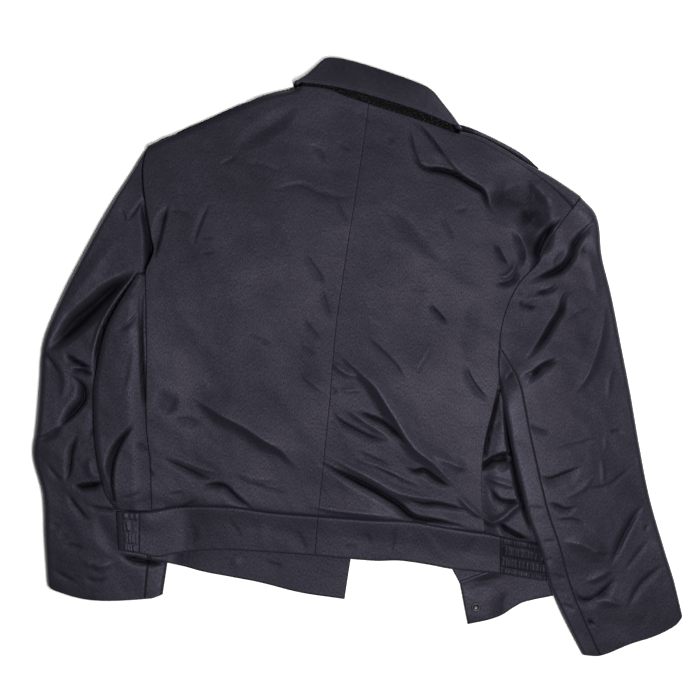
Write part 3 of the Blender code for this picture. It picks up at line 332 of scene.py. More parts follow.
SLEEVE_RIGHT_FOLDS = (
    (-6.8, 10.8, 5.4, 0.53, (
        (264, 201), (248, 182), (237, 164), (234, 148), (225, 133), (207, 120), (177, 105),
    )),
    (-1.1, 3, 6, 0.59, ((257, 185), (251, 175))),
    (-1.8, 3, 6, 0.59, ((254, 162), (248, 150))),
    (-3.7, 7, 2.4, 0.59, ((225, 110), (209, 99), (190, 93))),
    (-1.8, 7, 2.4, 0.59, ((224, 129), (218, 138), (229, 155))),
    (-2.7, 2.4, 7, 0.59, ((174, 86), (181, 78), (199, 77))),
    (-1.3, 2.4, 5.6, 0.59, ((171, 96), (181, 90))),
    (1.8, 5, 5, 0.49, ((179, 85), (195, 88), (207, 93))),
    (-5, 9.6, 4.8, 0.59, ((248, 109), (232, 95), (229, 77), (219, 56), (211, 38), (201, 21), (187, 4))),
    (-1, 8.4, 2.4, 0.53, ((278, 90), (254, 76), (232, 56))),
    (-5, 12.6, 3.2, 0.47, ((237, 15), (218, 6), (207, -4), (197, -25))),
    (-2.3, 8.4, 2.4, 0.53, ((212, 4), (200, -8), (186, -15))),
    (-1.5, 6, 3, 0.65, ((179, -5), (168, -21))),
    (3.2, 12, 16, 0.97, ((285, 96), (286, 70), (284, 41), (277, 9), (268, -14), (252, -36))),
    (1.2, 6, 6, 0.57, ((307, 18), (302, -6), (303, -33))),
    (-2, 2.4, 8.4, 0.65, ((202, -69), (214, -79), (238, -84))),
    (-1.5, 2.4, 5.6, 0.59, ((307, -71), (329, -70))),
    (-0.8, 2.4, 7, 0.59, ((231, -106), (267, -93), (304, -78))),
    (1, 4, 5, 0.57, ((303, -106), (307, -125), (310, -144))),
    (0.5, 4, 5, 0.57, ((305, -74), (308, -101))),
    (-2.8, 3.2, 18.2, 0.47, ((221, -139), (239, -141), (258, -132), (281, -120))),
    (-1, 2.4, 8.4, 0.65, ((283, -153), (295, -147), (315, -141), (332, -125), (351, -108))),
    (1.1, 7, 7, 0.49, ((258, -165), (282, -150), (296, -131))),
    (-2.8, 2.4, 9.8, 0.59, ((240, -171), (255, -175), (263, -178), (280, -173))),
    (-1.5, 2.4, 8.4, 0.59, ((252, -194), (278, -190), (298, -198))),
    (-3.4, 4.8, 9.6, 0.59, ((368, -157), (353, -184), (342, -213), (331, -248))),
    (-1.6, 4.8, 2.4, 0.59, ((375, -185), (369, -196))),
    (3.7, 15, 20, 0.89, ((263, -220), (289, -220), (312, -228), (333, -231))),
    (-1.6, 2.4, 7, 0.59, ((308, -229), (330, -231))),
    (-3.6, 14, 3.6, 0.59, ((342, -257), (327, -276), (313, -290), (297, -291), (289, -277))),
    (2.3, 8, 8, 0.57, ((301, -270), (317, -260), (334, -250))),
    (2.8, 10, 13, 0.81, ((304, -297), (330, -289), (354, -296))),
    (-2, 9.6, 4.8, 0.65, ((404, -233), (381, -254), (369, -271), (358, -300))),
    (-2.5, 2.4, 7, 0.59, ((311, -317), (321, -324))),
    (-1, 7.2, 3.6, 0.59, ((381, -201), (365, -224), (349, -252))),
    (-1.1, 2.4, 8.4, 0.59, ((273, -299), (295, -307))),
    (-0.8, 3.6, 12.6, 0.53, ((255, -263), (278, -268))),
    (-0.7, 2.8, 9.8, 0.53, ((238, -223), (259, -219))),
    (-0.8, 4, 14, 0.47, ((207, -181), (240, -180))),
    (1.5, 14, 10, 0.41, ((253, 158), (267, 120), (276, 95))),
    (-0.5, 8.4, 16.8, 0.35, ((390, -292), (378, -322))),
    (-0.9, 3.6, 12.6, 0.53, ((241, -249), (256, -242))),
)
TAB_FOLDS = (
    (-0.9, 2.4, 7, 0.71, ((139, -300), (155, -293), (172, -286), (194, -279), (212, -282))),
    (0.8, 5, 6, 0.57, ((147, -286), (169, -280), (192, -272), (208, -275))),
    (-0.8, 3.6, 12.6, 0.41, ((161, -305), (179, -295))),
    (0.5, 9, 9, 0.33, ((200, -290), (196, -307))),
    (-0.8, 4.8, 16.8, 0.41, ((-117, -293), (-87, -297))),
    (0.6, 12, 12, 0.33, ((-157, -292), (-145, -304))),
)

# Sleeves: the outer and inner edge in plan and the upper layer's height there, from armhole to cuff
SLEEVE_LEFT = (
    # outer x, outer y, inner x, inner y, outer height, inner height
    (-327, 227, -286, 78, 13, 9),
    (-341, 196, -285, 55, 15, 9),
    (-364, 149, -285, 31, 17, 9),
    (-394, 77, -282, -6, 17, 10),
    (-421, 3, -276, -45, 17, 10),
    (-433, -45, -268, -85, 17, 9),
    (-431, -98, -258, -125, 17, 9),
    (-429, -150, -252, -165, 17, 9),
    (-429, -190, -248, -203, 16, 9),
    (-411, -238, -244, -248, 16, 9),
    (-402, -292, -240, -300, 15, 9),
    (-391, -354, -241, -350, 12, 9),
)
SLEEVE_RIGHT = (
    # outer x, outer y, inner x, inner y, outer height, inner height
    (240, 225, 161, -20, 18, 22),
    (263, 203, 164, -33, 18, 26),
    (276, 152, 170, -54, 19, 30),
    (293, 106, 179, -84, 20, 31),
    (316, 34, 192, -125, 20, 31),
    (333, -20, 204, -158, 20, 31),
    (352, -85, 220, -200, 19, 30),
    (374, -153, 241, -240, 18, 28),
    (401, -218, 259, -284, 17, 22),
    (417, -254, 279, -319, 16, 18),
    (434, -300, 310, -365, 14, 14),
)
CUFF_LEFT = [(-391, -354), (-381, -360), (-331, -367), (-257, -357), (-241, -350)]
CUFF_RIGHT = [(434, -300), (425, -313), (401, -329), (370, -343), (333, -363), (310, -365)]

# A sleeve's seams, as shares of its width from the inner edge, and where its head takes the body's form
HINDARM_SHARE = 0.16
FOREARM_SHARE = 0.25
HEAD_FROM_LEFT = 0.2
HEAD_FROM_RIGHT = -0.3
HEAD_BLEND = 0.3

# Lengths over which a sleeve's head and cuff bend to their outlines and creases fade in, its rise in the
# middle, and the room inside
HEAD_LENGTH = 110.0
HEAD_CLEAR = 12.0
CUFF_LENGTH = 90.0
SLEEVE_PUFF = 3.0
SLEEVE_HOLLOW = 2.2

# Elastic ends of the waistband: the gathers across the part that shows, and how strong they are on the
# left; the rows of elastic thread as shares of the depth; the tails that turn under at the body's edge
GATHER_PITCH = 5.6
GATHER_RISE = 3.2
GATHER_SPACING = (0.45, 1.55)
GATHER_SIZES = (0.3, 1.25)
GATHER_LEAN = 1.5
GATHER_SEED = 11
GATHERED_LEFT = 0.3
ELASTIC_LIFT = 2.0
ELASTIC_ROWS = (0.0, 0.2, 0.5, 0.8, 1.0)
ROW_PINCH = 0.06
ROW_SINK = 0.25
ELASTIC_LEFT_TAIL = 36.0
ELASTIC_RIGHT_TAIL = 10.0
TAIL_DROP = 2.0
TAIL_CELL = 3.0

# Buttons: each profile has radius and height as shares of the button's, from the top down
BUTTON_PLACE = (166, -320)
BUTTON_RADIUS = 8.0
BUTTON_HEIGHT = 3.4
BUTTON_PROFILE = ((0, 1), (0.8, 1), (1, 0.75), (0.9, 0.3), (0.6, 0), (0, 0))
BACKING_RADIUS = 6.0
BACKING_HEIGHT = 2.2
BACKING_PROFILE = (
    (0, 0.35), (0.35, 0.38), (0.5, 0.5), (0.6, 0.8), (0.68, 1), (0.8, 1.05), (0.92, 0.95), (1, 0.6),
    (0.97, 0.2), (0.9, 0), (0, 0),
)
TURN_STEPS = 24

# Cloth of the visible pieces: wall, shoulder strap and turned collar
THIN = 1.3
STRAP_CLOTH = 2.4
COLLAR_CLOTH = 2.0

# How far an edge is rounded down, and over what width: pressed seam, turned edge, waist, sleeve head
SEAM_ROLL = (0.24, 1.4)
EDGE_ROLL = (1.5, 2.6)
WAIST_ROLL = (3.0, 4.2)
HEAD_ROLL = (3.0, 6.0)

# Height above the table from which an edge is rounded down in full
ROLL_FULL_FROM = 3.0

# Seam allowance: its width, its usual and its deeper drop under the next piece, and its steps as shares
# of the width and of the drop
ALLOWANCE = 3.0
ALLOWANCE_DROP = 1.7
DEEP_DROP = 3.0
ALLOWANCE_STEPS = ((0.05, 0.5), (0.12, 1.0), (1.0, 1.0))

# Where the cloth turns round an edge: the angles of its columns, in degrees
TURN = np.arange(75.0, -76.0, -15.0)
SIDE_TURN = np.arange(75.0, -46.0, -15.0)
SLEEVE_TURN = np.arange(72.0, -73.0, -16.0)
FRONT_TURN = np.arange(-70.0, 71.0, 14.0)

# A fold's ends: the share of its length over which they fade and the share of its reach that is left
# there; and the power by which a sharp crest falls away
FOLD_FADE = 0.36
FOLD_TAPER = 0.35
FOLD_CUSP = 1.9

# Room for the creases: lift of the whole back, how much more away from its hem and collar, and over what
# length; how much lower the layer tucked under a pleat lies
LOFT_LIFT = (2.0, 4.5)
LIFT_FADE = 40.0
TUCK_DROP = 1.6

# Shoulder straps: height of the edge that shows, its crest's width, where it is down again, and the share
# of the length over which it rises
STRAP_LIFT = 8.0
STRAP_CREST = 3.0
STRAP_SHOWN = 6.0
STRAP_FADE = 0.2

# Waistband: its depth; its front tabs' height above what is below, and how far their top edge is drawn
# over the front and lifted
WAISTBAND_DEPTH = 50.0
TAB_LIFT = 0.2
TAB_OVER = 4.5
TAB_OVER_LIFT = 2.0

# Slight unevenness of the cloth, and its share on the waistband
RIPPLES = (
    # rise, size, direction and how much longer than wide
    (1.5, 62.0, -35.0, 1.6),
    (0.9, 30.0, -40.0, 1.7),
    (0.42, 14.0, -25.0, 2.0),
    (0.12, 7.0, -50.0, 2.0),
)
RIPPLE_CELLS = 64
RIPPLE_SEED = 3
BAND_UNEVENNESS = 0.5

# Stitches: length, width, pitch and flatness; the topstitching's distance from its edge
STITCH = 2.4
STITCH_WIDTH = 0.55
STITCH_PITCH = 3.0
STITCH_FLATNESS = 0.7
TOPSTITCH_IN = 4.0
COLLAR_TOPSTITCH_IN = 5.5
BUTTONHOLE = (
    # name, path in plan, stitch length, width and pitch
    ("buttonhole_bar", [(-45.5, -292.5), (-44.8, -298.9)], 1.6, 0.9, 1.0),
    ("buttonhole_edge", [(-44.5, -295.0), (-34.0, -296.5), (-24.5, -298.0)], 1.5, 1.1, 1.2),
    ("buttonhole_knot", [(-26.0, -299.0), (-24.0, -301.0)], 2.2, 1.6, 1.4),
    ("buttonhole_thread", [(-23.8, -299.1), (-17.0, -301.0), (-8.0, -299.9)], 2.6, 0.7, 2.0),
)

# How far around a point its surroundings are averaged, and the difference that counts as full relief; the
# relief sets where the cloth's material paints shade in the creases and highlight on the raised folds
RELIEF_REACHES = ((5.0, 3.5), (18.0, 11.5), (40.0, 15.0))

# Colours of the cloth, sRGB
NAVY = "121117"
NAVY_WORN = "1c1b22"

# Camera and light, metres, but for the sensor, the view's centre and the floor's drop, millimetres; the
# view has its width at its own level above the table, and its turn is in degrees
CAMERA_HEIGHT = 2.2
SENSOR = 36.0
VIEW_WIDTH = 0.910
VIEW_LEVEL = 0.01
VIEW_CENTRE = (-35.3, -6.0)
VIEW_TURN = 6.57
LIGHTS = (
    # name, place, size, power, colour
    ("overhead", (0.2, -0.16, 1.6), 0.5, 34.6, "fffdf8"),
    ("key", (0.75, 1.3, 1.15), 0.5, 19.0, "fffdf8"),
)
FILL = 0.16
FLOOR_SIZE = 4.0
FLOOR_DROP = 0.6


# ---------------------------------------------------------------- curves and grids in plan

def steps_of(points, axis=0):
    """The distances between neighbouring points along an axis."""
    return np.linalg.norm(np.diff(points, axis=axis), axis=-1)


def summed(steps, axis=0):
    """The running total of the steps along an axis, from nought."""
    return np.insert(np.cumsum(steps, axis=axis), 0, 0.0, axis=axis)


def smooth_line(points, steps=10):
    """A smooth line through the points, as many closely spaced points."""
    p = np.array(points, float)
    length = steps_of(p[:, :2])
    at = summed(length)
    slope = np.empty_like(p)
    slope[0] = (p[1] - p[0]) / length[0]
    slope[-1] = (p[-1] - p[-2]) / length[-1]
    slope[1:-1] = (p[2:] - p[:-2]) / (at[2:] - at[:-2])[:, None]
    t = np.linspace(0.0, 1.0, steps, endpoint=False)[:, None]
    parts = []
    for k, span in enumerate(length):
        parts.append(
            (2 * t**3 - 3 * t**2 + 1) * p[k]
            + (t**3 - 2 * t**2 + t) * span * slope[k]
            + (3 * t**2 - 2 * t**3) * p[k + 1]
            + (t**3 - t**2) * span * slope[k + 1]
        )
    return np.vstack(parts + [p[-1:]])


def joined(*curves):
    """One line through several smooth curves, with a corner where two meet."""
    lines = [smooth_line(c) for c in curves]
    return np.vstack([lines[0]] + [line[1:] for line in lines[1:]])


def along(line, shares):
    """The points at these shares of the line's length in plan."""
    at = summed(steps_of(line[:, :2]))
    wanted = np.asarray(shares) * at[-1]
    return np.stack([np.interp(wanted, at, line[:, k]) for k in range(line.shape[1])], axis=-1)


def line_length(line):
    return float(steps_of(line[:, :2]).sum())


def shares_for(length, cell):
    return np.linspace(0.0, 1.0, max(2, round(length / cell)) + 1)


def coons(bottom, top, left, right, us, vs):
    """A grid in plan between four lines that meet at their ends: us across, vs upwards."""
    b, t = along(bottom, us), along(top, us)
    lo, hi = along(left, vs), along(right, vs)
    u, v = us[None, :, None], vs[:, None, None]
    corners = (
        (1 - u) * (1 - v) * b[0] + u * (1 - v) * b[-1] + (1 - u) * v * t[0] + u * v * t[-1]
    )
    return (1 - v) * b[None] + v * t[None] + (1 - u) * lo[:, None] + u * hi[:, None] - corners


def ruled(first, second, us, vs):
    """A grid in plan of straight lines from one rail to the other: us from first to second."""
    a, b = along(first, vs)[:, None], along(second, vs)[:, None]
    return a + (b - a) * us[None, :, None]


def with_height(plan, height):
    return np.concatenate([plan, np.asarray(height)[..., None]], axis=-1)


def height_at(height, plan):
    """The height, a function of (x, y), at the points in plan."""
    return height(plan[..., 0], plan[..., 1])


def unit(vectors):
    """The vectors at length one, and the lengths they had."""
    length = np.linalg.norm(vectors, axis=-1)
    return vectors / length[..., None], length


def sideways(line):
    """Unit vectors to the right of the line, one at each of its points in plan."""
    way = np.gradient(line, axis=0)
    return unit(np.stack([way[:, 1], -way[:, 0]], axis=1))[0]


SIDES = {
    "u0": (np.s_[:, 0], np.s_[:, 1]),
    "u1": (np.s_[:, -1], np.s_[:, -2]),
    "v0": (np.s_[0], np.s_[1]),
    "v1": (np.s_[-1], np.s_[-2]),
}
LEFT_RIGHT = ("u0", "u1")
LOW_HIGH = ("v0", "v1")
ALL_ROUND = (*LEFT_RIGHT, *LOW_HIGH)


def parted(grid, sides, gap=SEAM_GAP / 2):
    """The grid with the named sides (u0, u1, v0, v1) drawn back from their seams."""
    out = grid.copy()
    for side in sides:
        out[SIDES[side][0]] += across(grid, side) * gap
    return out


def across(grid, side):
    """Level unit vectors from one side of the grid towards its next line of points."""
    edge, inner = SIDES[side]
    way = grid[inner] - grid[edge]
    way[..., 2:] = 0.0
    return way / np.maximum(np.linalg.norm(way, axis=-1, keepdims=True), 1e-6)


# ---------------------------------------------------------------- heights

def smooth_step(x):
    x = np.clip(x, 0.0, 1.0)
    return x * x * (3 - 2 * x)


def smooth_max(a, b, blend=1.5):
    return 0.5 * (a + b + np.sqrt((a - b) ** 2 + blend**2))


def fold_height(x, y, folds):
    """The rise of all folds at the points: each fades across its two reaches and at both ends."""
    x, y = np.broadcast_arrays(np.asarray(x, float), np.asarray(y, float))
    total = np.zeros(x.shape)
    for rise, reach_left, reach_right, sharp, path in folds:
        line = smooth_line(path, 4)
        far = max(reach_left, reach_right)
        low, high = line.min(axis=0) - far, line.max(axis=0) + far
        inside = (x > low[0]) & (x < high[0]) & (y > low[1]) & (y < high[1])
        if not inside.any():
            continue
        a, b = line[:-1], line[1:]
        way = b - a
        span = np.linalg.norm(way, axis=1)
        start = summed(span)
        px = x[inside][:, None] - a[:, 0]
        py = y[inside][:, None] - a[:, 1]
        t = np.clip((px * way[:, 0] + py * way[:, 1]) / span**2, 0.0, 1.0)
        dx, dy = px - t * way[:, 0], py - t * way[:, 1]
        gap = np.hypot(dx, dy)
        best = gap.argmin(axis=1)[:, None]
        side = np.take_along_axis(way[:, 0] * dy - way[:, 1] * dx, best, 1)[:, 0]
        gap = np.take_along_axis(gap, best, 1)[:, 0]
        share = np.take_along_axis((start[:-1] + t * span) / start[-1], best, 1)[:, 0]
        ends = smooth_step(share / FOLD_FADE) * smooth_step((1 - share) / FOLD_FADE)
        reach = np.where(side > 0, reach_left, reach_right) * (FOLD_TAPER + (1 - FOLD_TAPER) * ends)
        away = np.clip(gap / reach, 0.0, 1.0)
        profile = (1 - sharp) * (1 - smooth_step(away)) + sharp * (1 - away) ** FOLD_CUSP
        total[inside] += rise * profile * ends
    return total


def ripple(x, y):
    """The slight unevenness of worn cloth that lies loose: smooth bumps of a few sizes, none alike."""
    x, y = np.broadcast_arrays(np.asarray(x, float), np.asarray(y, float))
    total = np.zeros(x.shape)
    for seed, (rise, size, turn, stretch) in enumerate(RIPPLES):
        lattice = np.random.default_rng(seed + RIPPLE_SEED).uniform(-1.0, 1.0, (RIPPLE_CELLS,) * 2)
        a = math.radians(turn)
        u = (x * math.cos(a) + y * math.sin(a)) / (size * stretch) + RIPPLE_CELLS / 2
        v = (y * math.cos(a) - x * math.sin(a)) / size + RIPPLE_CELLS / 2
        i, j = np.floor(u).astype(int), np.floor(v).astype(int)
        s, t = smooth_step(u - i), smooth_step(v - j)
        around = ((0, 0), (1, 0), (0, 1), (1, 1))
        corner = [lattice[(i + p) % RIPPLE_CELLS, (j + q) % RIPPLE_CELLS] for p, q in around]
        low = corner[0] + (corner[1] - corner[0]) * s
        high = corner[2] + (corner[3] - corner[2]) * s
        total += rise * (low + (high - low) * t)
    return total


def distance_to(line, x, y):
    plan = np.stack(np.broadcast_arrays(x, y), axis=-1)
    flat = plan.reshape(-1, 2)
    runs = [flat[k:k + 4000, None] for k in range(0, len(flat), 4000)]
    near = [np.linalg.norm(run - line, axis=-1).min(axis=-1) for run in runs]
    return np.concatenate(near).reshape(plan.shape[:-1])


def pleat_room(x, y):
    """The height that the layer tucked under each pleat takes up."""
    left = distance_to(smooth_line(PLEAT_LEFT), x, y)
    near = np.minimum(left, distance_to(smooth_line(PLEAT_RIGHT), x, y))
    return (CLOTH + LAY_GAP + SEAM_GAP) * (1 - smooth_step((near - PLEAT_LAP) / PLEAT_BLEND))


def loft(x, y):
    """The smooth height of the back's upper layer, before folds."""
    table = np.array(LOFT, float)
    columns = [np.interp(y, table[:, 0], table[:, k + 1]) for k in range(len(LOFT_X))]
    stops = np.array(LOFT_X, float)
    k = np.clip(np.searchsorted(stops, x) - 1, 0, len(stops) - 2)
    t = smooth_step((x - stops[k]) / (stops[k + 1] - stops[k]))
    stack = np.stack(columns, axis=-1)
    low = np.take_along_axis(stack, k[..., None], -1)[..., 0]
    high = np.take_along_axis(stack, k[..., None] + 1, -1)[..., 0]
    return low + (high - low) * t


class Table:
    """The height of what lies on the table so far, on square cells in plan."""

    CELL = 3.0
    LOW = (-470.0, -420.0)
    CELLS = (314, 280)

    def __init__(self):
        self.height = np.zeros(self.CELLS)

    def lay(self, grid):
        """Adds the upper surface of a grid of points (rows, columns, xyz)."""
        widest = max(steps_of(grid[..., :2], k).max() for k in (0, 1))
        steps = 2 + int(1.3 * widest / self.CELL)
        s = np.linspace(0.0, 1.0, steps)
        u, v = s[None, :, None], s[:, None, None]
        a, b = grid[:-1, :-1, None, None], grid[:-1, 1:, None, None]
        c, d = grid[1:, :-1, None, None], grid[1:, 1:, None, None]
        p = (a * (1 - u) * (1 - v) + b * u * (1 - v) + c * (1 - u) * v + d * u * v).reshape(-1, 3)
        index = tuple(
            np.clip(np.round((p[:, k] - self.LOW[k]) / self.CELL).astype(int), 0, self.CELLS[k] - 1)
            for k in (0, 1)
        )
        np.maximum.at(self.height, index, p[:, 2])

    def cover(self, reach=DRAPE_REACH):
        """A function of (x, y): a smooth sheet over everything laid, never below any of it."""
        cells = round(reach / self.CELL)
        field = self.height
        for axis in (0, 1):
            field = np.max([np.roll(field, s, axis) for s in range(-cells, cells + 1)], axis=0)
        blur = cells // 2
        for axis in (0, 1, 0, 1):
            field = np.mean([np.roll(field, s, axis) for s in range(-blur, blur + 1)], axis=0)

        def sample(x, y):
            fx = np.clip((np.asarray(x) - self.LOW[0]) / self.CELL, 0, self.CELLS[0] - 1.001)
            fy = np.clip((np.asarray(y) - self.LOW[1]) / self.CELL, 0, self.CELLS[1] - 1.001)
            i, j = fx.astype(int), fy.astype(int)
            tx, ty = fx - i, fy - j
            low = field[i, j] * (1 - tx) + field[i + 1, j] * tx
            high = field[i, j + 1] * (1 - tx) + field[i + 1, j + 1] * tx
            return low * (1 - ty) + high * ty

        return sample


def on_table(x, y):
    return np.zeros(np.shape(x))


def resting_on(cover):
    """Where the underside of the next layer lies: on the table, or clear above what is there."""

    def underside(x, y):
        below = cover(x, y)
        return below + LAY_GAP * smooth_step(below / 1.0)

    return underside


def turned_edge(edge, inward, reach, high, low, angles):
    """Columns of points that carry a sheet round its edge, from high (90) to low (-90 degrees)."""
    columns = []
    for angle in np.radians(angles):
        plan = edge + inward * (reach * (1 - math.cos(angle)))[:, None]
        columns.append(with_height(plan, (high + low) / 2 + (high - low) / 2 * math.sin(angle)))
    return np.stack(columns, axis=1)


def seam_shares(length, cell):
    """Even shares of a length, with closer ones beside the seams at both of its ends."""
    even = shares_for(length, cell)
    near = np.array(SEAM_STEPS) / length
    inside = even[(even > near[-1] * 1.4) & (even < 1 - near[-1] * 1.4)]
    return np.concatenate([[0.0], near, inside, 1 - near[::-1], [1.0]])


def rolled(grid, sides, roll=SEAM_ROLL):
    """The grid with its named sides rounded down, by the roll's depth and over its width."""
    depth, reach = roll
    out = grid.copy()
    for side in sides:
        axis = 1 if side[0] == "u" else 0
        away = summed(steps_of(grid[..., :2], axis), axis)
        if side[1] == "1":
            away = np.take(away, [-1], axis=axis) - away
        t = np.clip(1 - away / reach, 0.0, 1.0)
        out[..., 2] -= depth * (1 - np.sqrt(1 - t * t)) * np.clip(grid[..., 2] / ROLL_FULL_FROM, 0.0, 1.0)
    return out


def with_allowance(grid, side, wide=ALLOWANCE, drop=ALLOWANCE_DROP):
    """The grid with a seam allowance added on one side, under the edge of the piece sewn to it."""
    edge = grid[SIDES[side][0]]
    steps = [
        edge - across(grid, side) * wide * share - (0, 0, drop * fall)
        for share, fall in ALLOWANCE_STEPS
    ]
    axis = 1 if side[0] == "u" else 0
    if side[1] == "0":
        steps = steps[::-1]
    added = np.stack(steps, axis=axis)
    return np.concatenate([added, grid] if side[1] == "0" else [grid, added], axis=axis)


def beside(grid, side, distance):
    """The line of points on the grid at this distance from one of its sides."""
    lines = grid if side[0] == "u" else grid.transpose(1, 0, 2)
    if side[1] == "1":
        lines = lines[:, ::-1]
    points = []
    for line in lines:
        at = summed(steps_of(line))
        points.append([np.interp(distance, at, line[:, k]) for k in range(3)])
    return np.array(points)


# ---------------------------------------------------------------- walls of cloth

def outward_normals(grid, upright, lies):
    """Unit normals away from the cloth; on the named sides they keep to the plane of the seam."""
    normal = np.cross(np.gradient(grid, axis=1), np.gradient(grid, axis=0))
    normal /= np.maximum(np.linalg.norm(normal, axis=-1, keepdims=True), 1e-9)
    faces_up = normal[len(grid) // 2, 0, 2] > 0
    if faces_up != (lies == "below"):
        normal = -normal
    for side in upright:
        edge, way = normal[SIDES[side][0]], across(grid, side)
        edge -= np.sum(edge * way, axis=-1, keepdims=True) * way
        edge /= np.linalg.norm(edge, axis=-1, keepdims=True)
    return normal


def eased(normal, rounds=2):
    """The normals averaged with their neighbours, so that the inner face of a crease doesn't fold over."""
    for _ in range(rounds):
        wide = np.pad(normal, ((1, 1), (1, 1), (0, 0)), mode="edge")
        normal = wide[:-2, 1:-1] + wide[2:, 1:-1] + wide[1:-1, :-2] + wide[1:-1, 2:] + 2 * normal
        normal /= np.linalg.norm(normal, axis=-1, keepdims=True)
    return normal


def cloth(name, grid, material, lies, upright=(), thickness=THIN):
    """A closed wall of cloth from a grid on its outer face: at the first column it lies below or above."""
    inward = eased(outward_normals(grid, upright, lies)) * thickness
    other = (grid - inward).reshape(-1, 3) * MM
    points = grid.reshape(-1, 3) * MM
    rows, columns = grid.shape[:2]
    bm = bmesh.new()
    bmesh.ops.create_grid(bm, x_segments=columns - 1, y_segments=rows - 1, size=1.0)
    station = bm.verts.layers.int.new("station")
    for index, vert in enumerate(bm.verts):
        vert[station] = index
        vert.co = points[index]
    made = bmesh.ops.extrude_face_region(bm, geom=bm.faces[:], use_keep_orig=True)
    for vert in made["geom"]:
        if isinstance(vert, bmesh.types.BMVert):
            vert.co = other[vert[station]]
    bmesh.ops.recalc_face_normals(bm, faces=bm.faces[:])
    if bm.calc_volume(signed=True) < 0:
        bmesh.ops.reverse_faces(bm, faces=bm.faces[:])
    obj = placed(name + "_cloth", bm, material)
    station = np.empty(len(obj.data.vertices), np.int32)
    obj.data.attributes["station"].data.foreach_get("value", station)
    flatten(obj.data, grid, station)
    # The Relief attribute is read by the cloth material for its painted crease shade and painted crest
    # highlight.
    relief = obj.data.attributes.new("Relief", "FLOAT", "POINT")
    relief.data.foreach_set("value", relief_of(grid).reshape(-1)[station].astype(np.float32))
    declared(obj, name)


def level(height, cells):
    """The height averaged over a square this many cells to each side."""
    for axis in (0, 1):
        wide = np.pad(height, [(cells, cells) if k == axis else (0, 0) for k in (0, 1)], mode="edge")
        sums = summed(wide, axis)
        count = height.shape[axis]
        span = 2 * cells + 1
        ends = [np.take(sums, np.arange(k, k + count), axis=axis) for k in (0, span)]
        height = (ends[1] - ends[0]) / span
    return height


def relief_of(grid):
    """How far each point stands above (to 1) or below (to -1) the cloth around it."""
    height = grid[..., 2]
    cell = np.median(steps_of(grid[..., :2]))
    total = sum(
        (height - level(height, max(1, round(reach / cell)))) / full for reach, full in RELIEF_REACHES
    )
    return np.clip(total, -1.0, 1.0)


def flatten(mesh, grid, station):
    """Gives the mesh the cloth's flat coordinates, in metres: lengths along the rows and the columns."""
    u, v = (summed(steps_of(grid, axis), axis).reshape(-1) * MM for axis in (1, 0))
    corner = np.empty(len(mesh.loops), np.int32)
    mesh.loops.foreach_get("vertex_index", corner)
    at = station[corner]
    layer = mesh.uv_layers.new(name="Cloth")
    layer.uv.foreach_set("vector", np.stack([u[at], v[at]], axis=1).astype(np.float32).ravel())


def declared(obj, node):
    """Rides on the jacket in place of its CAD node, which it hides."""
    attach(obj, "root")
    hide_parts(node)


def placed(name, bm, material):
    mesh = bpy.data.meshes.new(name)
    bm.to_mesh(mesh)
    bm.free()
    mesh.materials.append(material)
    mesh.shade_smooth()
    obj = bpy.data.objects.new(name, mesh)
    bpy.context.scene.collection.objects.link(obj)
    return obj


def turned(name, profile, place, material):
    """A turned piece: its profile of (radius, height) in millimetres, from the top down."""
    bm = bmesh.new()
    verts = [bm.verts.new((r * MM, 0.0, z * MM)) for r, z in profile]
    edges = [bm.edges.new((a, b)) for a, b in zip(verts, verts[1:])]
    bmesh.ops.spin(
        bm, geom=verts + edges, cent=(0, 0, 0), axis=(0, 0, 1), angle=2 * math.pi, steps=TURN_STEPS,
        use_merge=True,
    )
    bmesh.ops.remove_doubles(bm, verts=bm.verts[:], dist=0.00001)
    bmesh.ops.recalc_face_normals(bm, faces=bm.faces[:])
    bmesh.ops.translate(bm, verts=bm.verts[:], vec=[c * MM for c in place])
    obj = placed(name + "_metal", bm, material)
    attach(obj, "root")
    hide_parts(name)


def stitches(name, line, material, length=STITCH, width=STITCH_WIDTH, every=STITCH_PITCH):
    """A row of stitches along a line of points in millimetres, sunk halfway into the cloth."""
    at = summed(steps_of(line))
    count = max(1, int(at[-1] / every))
    bm = bmesh.new()
    for k in range(count):
        ends = [(k + 0.5) * every + half * length / 2 for half in (-1, 1)]
        a, b = (Vector([np.interp(e, at, line[:, axis]) for axis in range(3)]) for e in ends)
        way = (b - a).normalized()
        turn = way.to_track_quat("X", "Z").to_matrix().to_4x4()
        size = Matrix.Diagonal((length * MM / 2, width * MM / 2, width * STITCH_FLATNESS * MM / 2, 1.0))
        shape = Matrix.Translation((a + b) / 2 * MM) @ turn @ size
        bmesh.ops.create_icosphere(bm, subdivisions=1, radius=1.0, matrix=shape)
    obj = placed(name, bm, material)
    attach(obj, "root")


# ---------------------------------------------------------------- materials

def linear(code):
    """A colour as a shader takes it, from its sRGB hex code."""
    parts = [int(code[k:k + 2], 16) / 255 for k in (0, 2, 4)]
    return (*[c / 12.92 if c <= 0.04045 else ((c + 0.055) / 1.055) ** 2.4 for c in parts], 1.0)


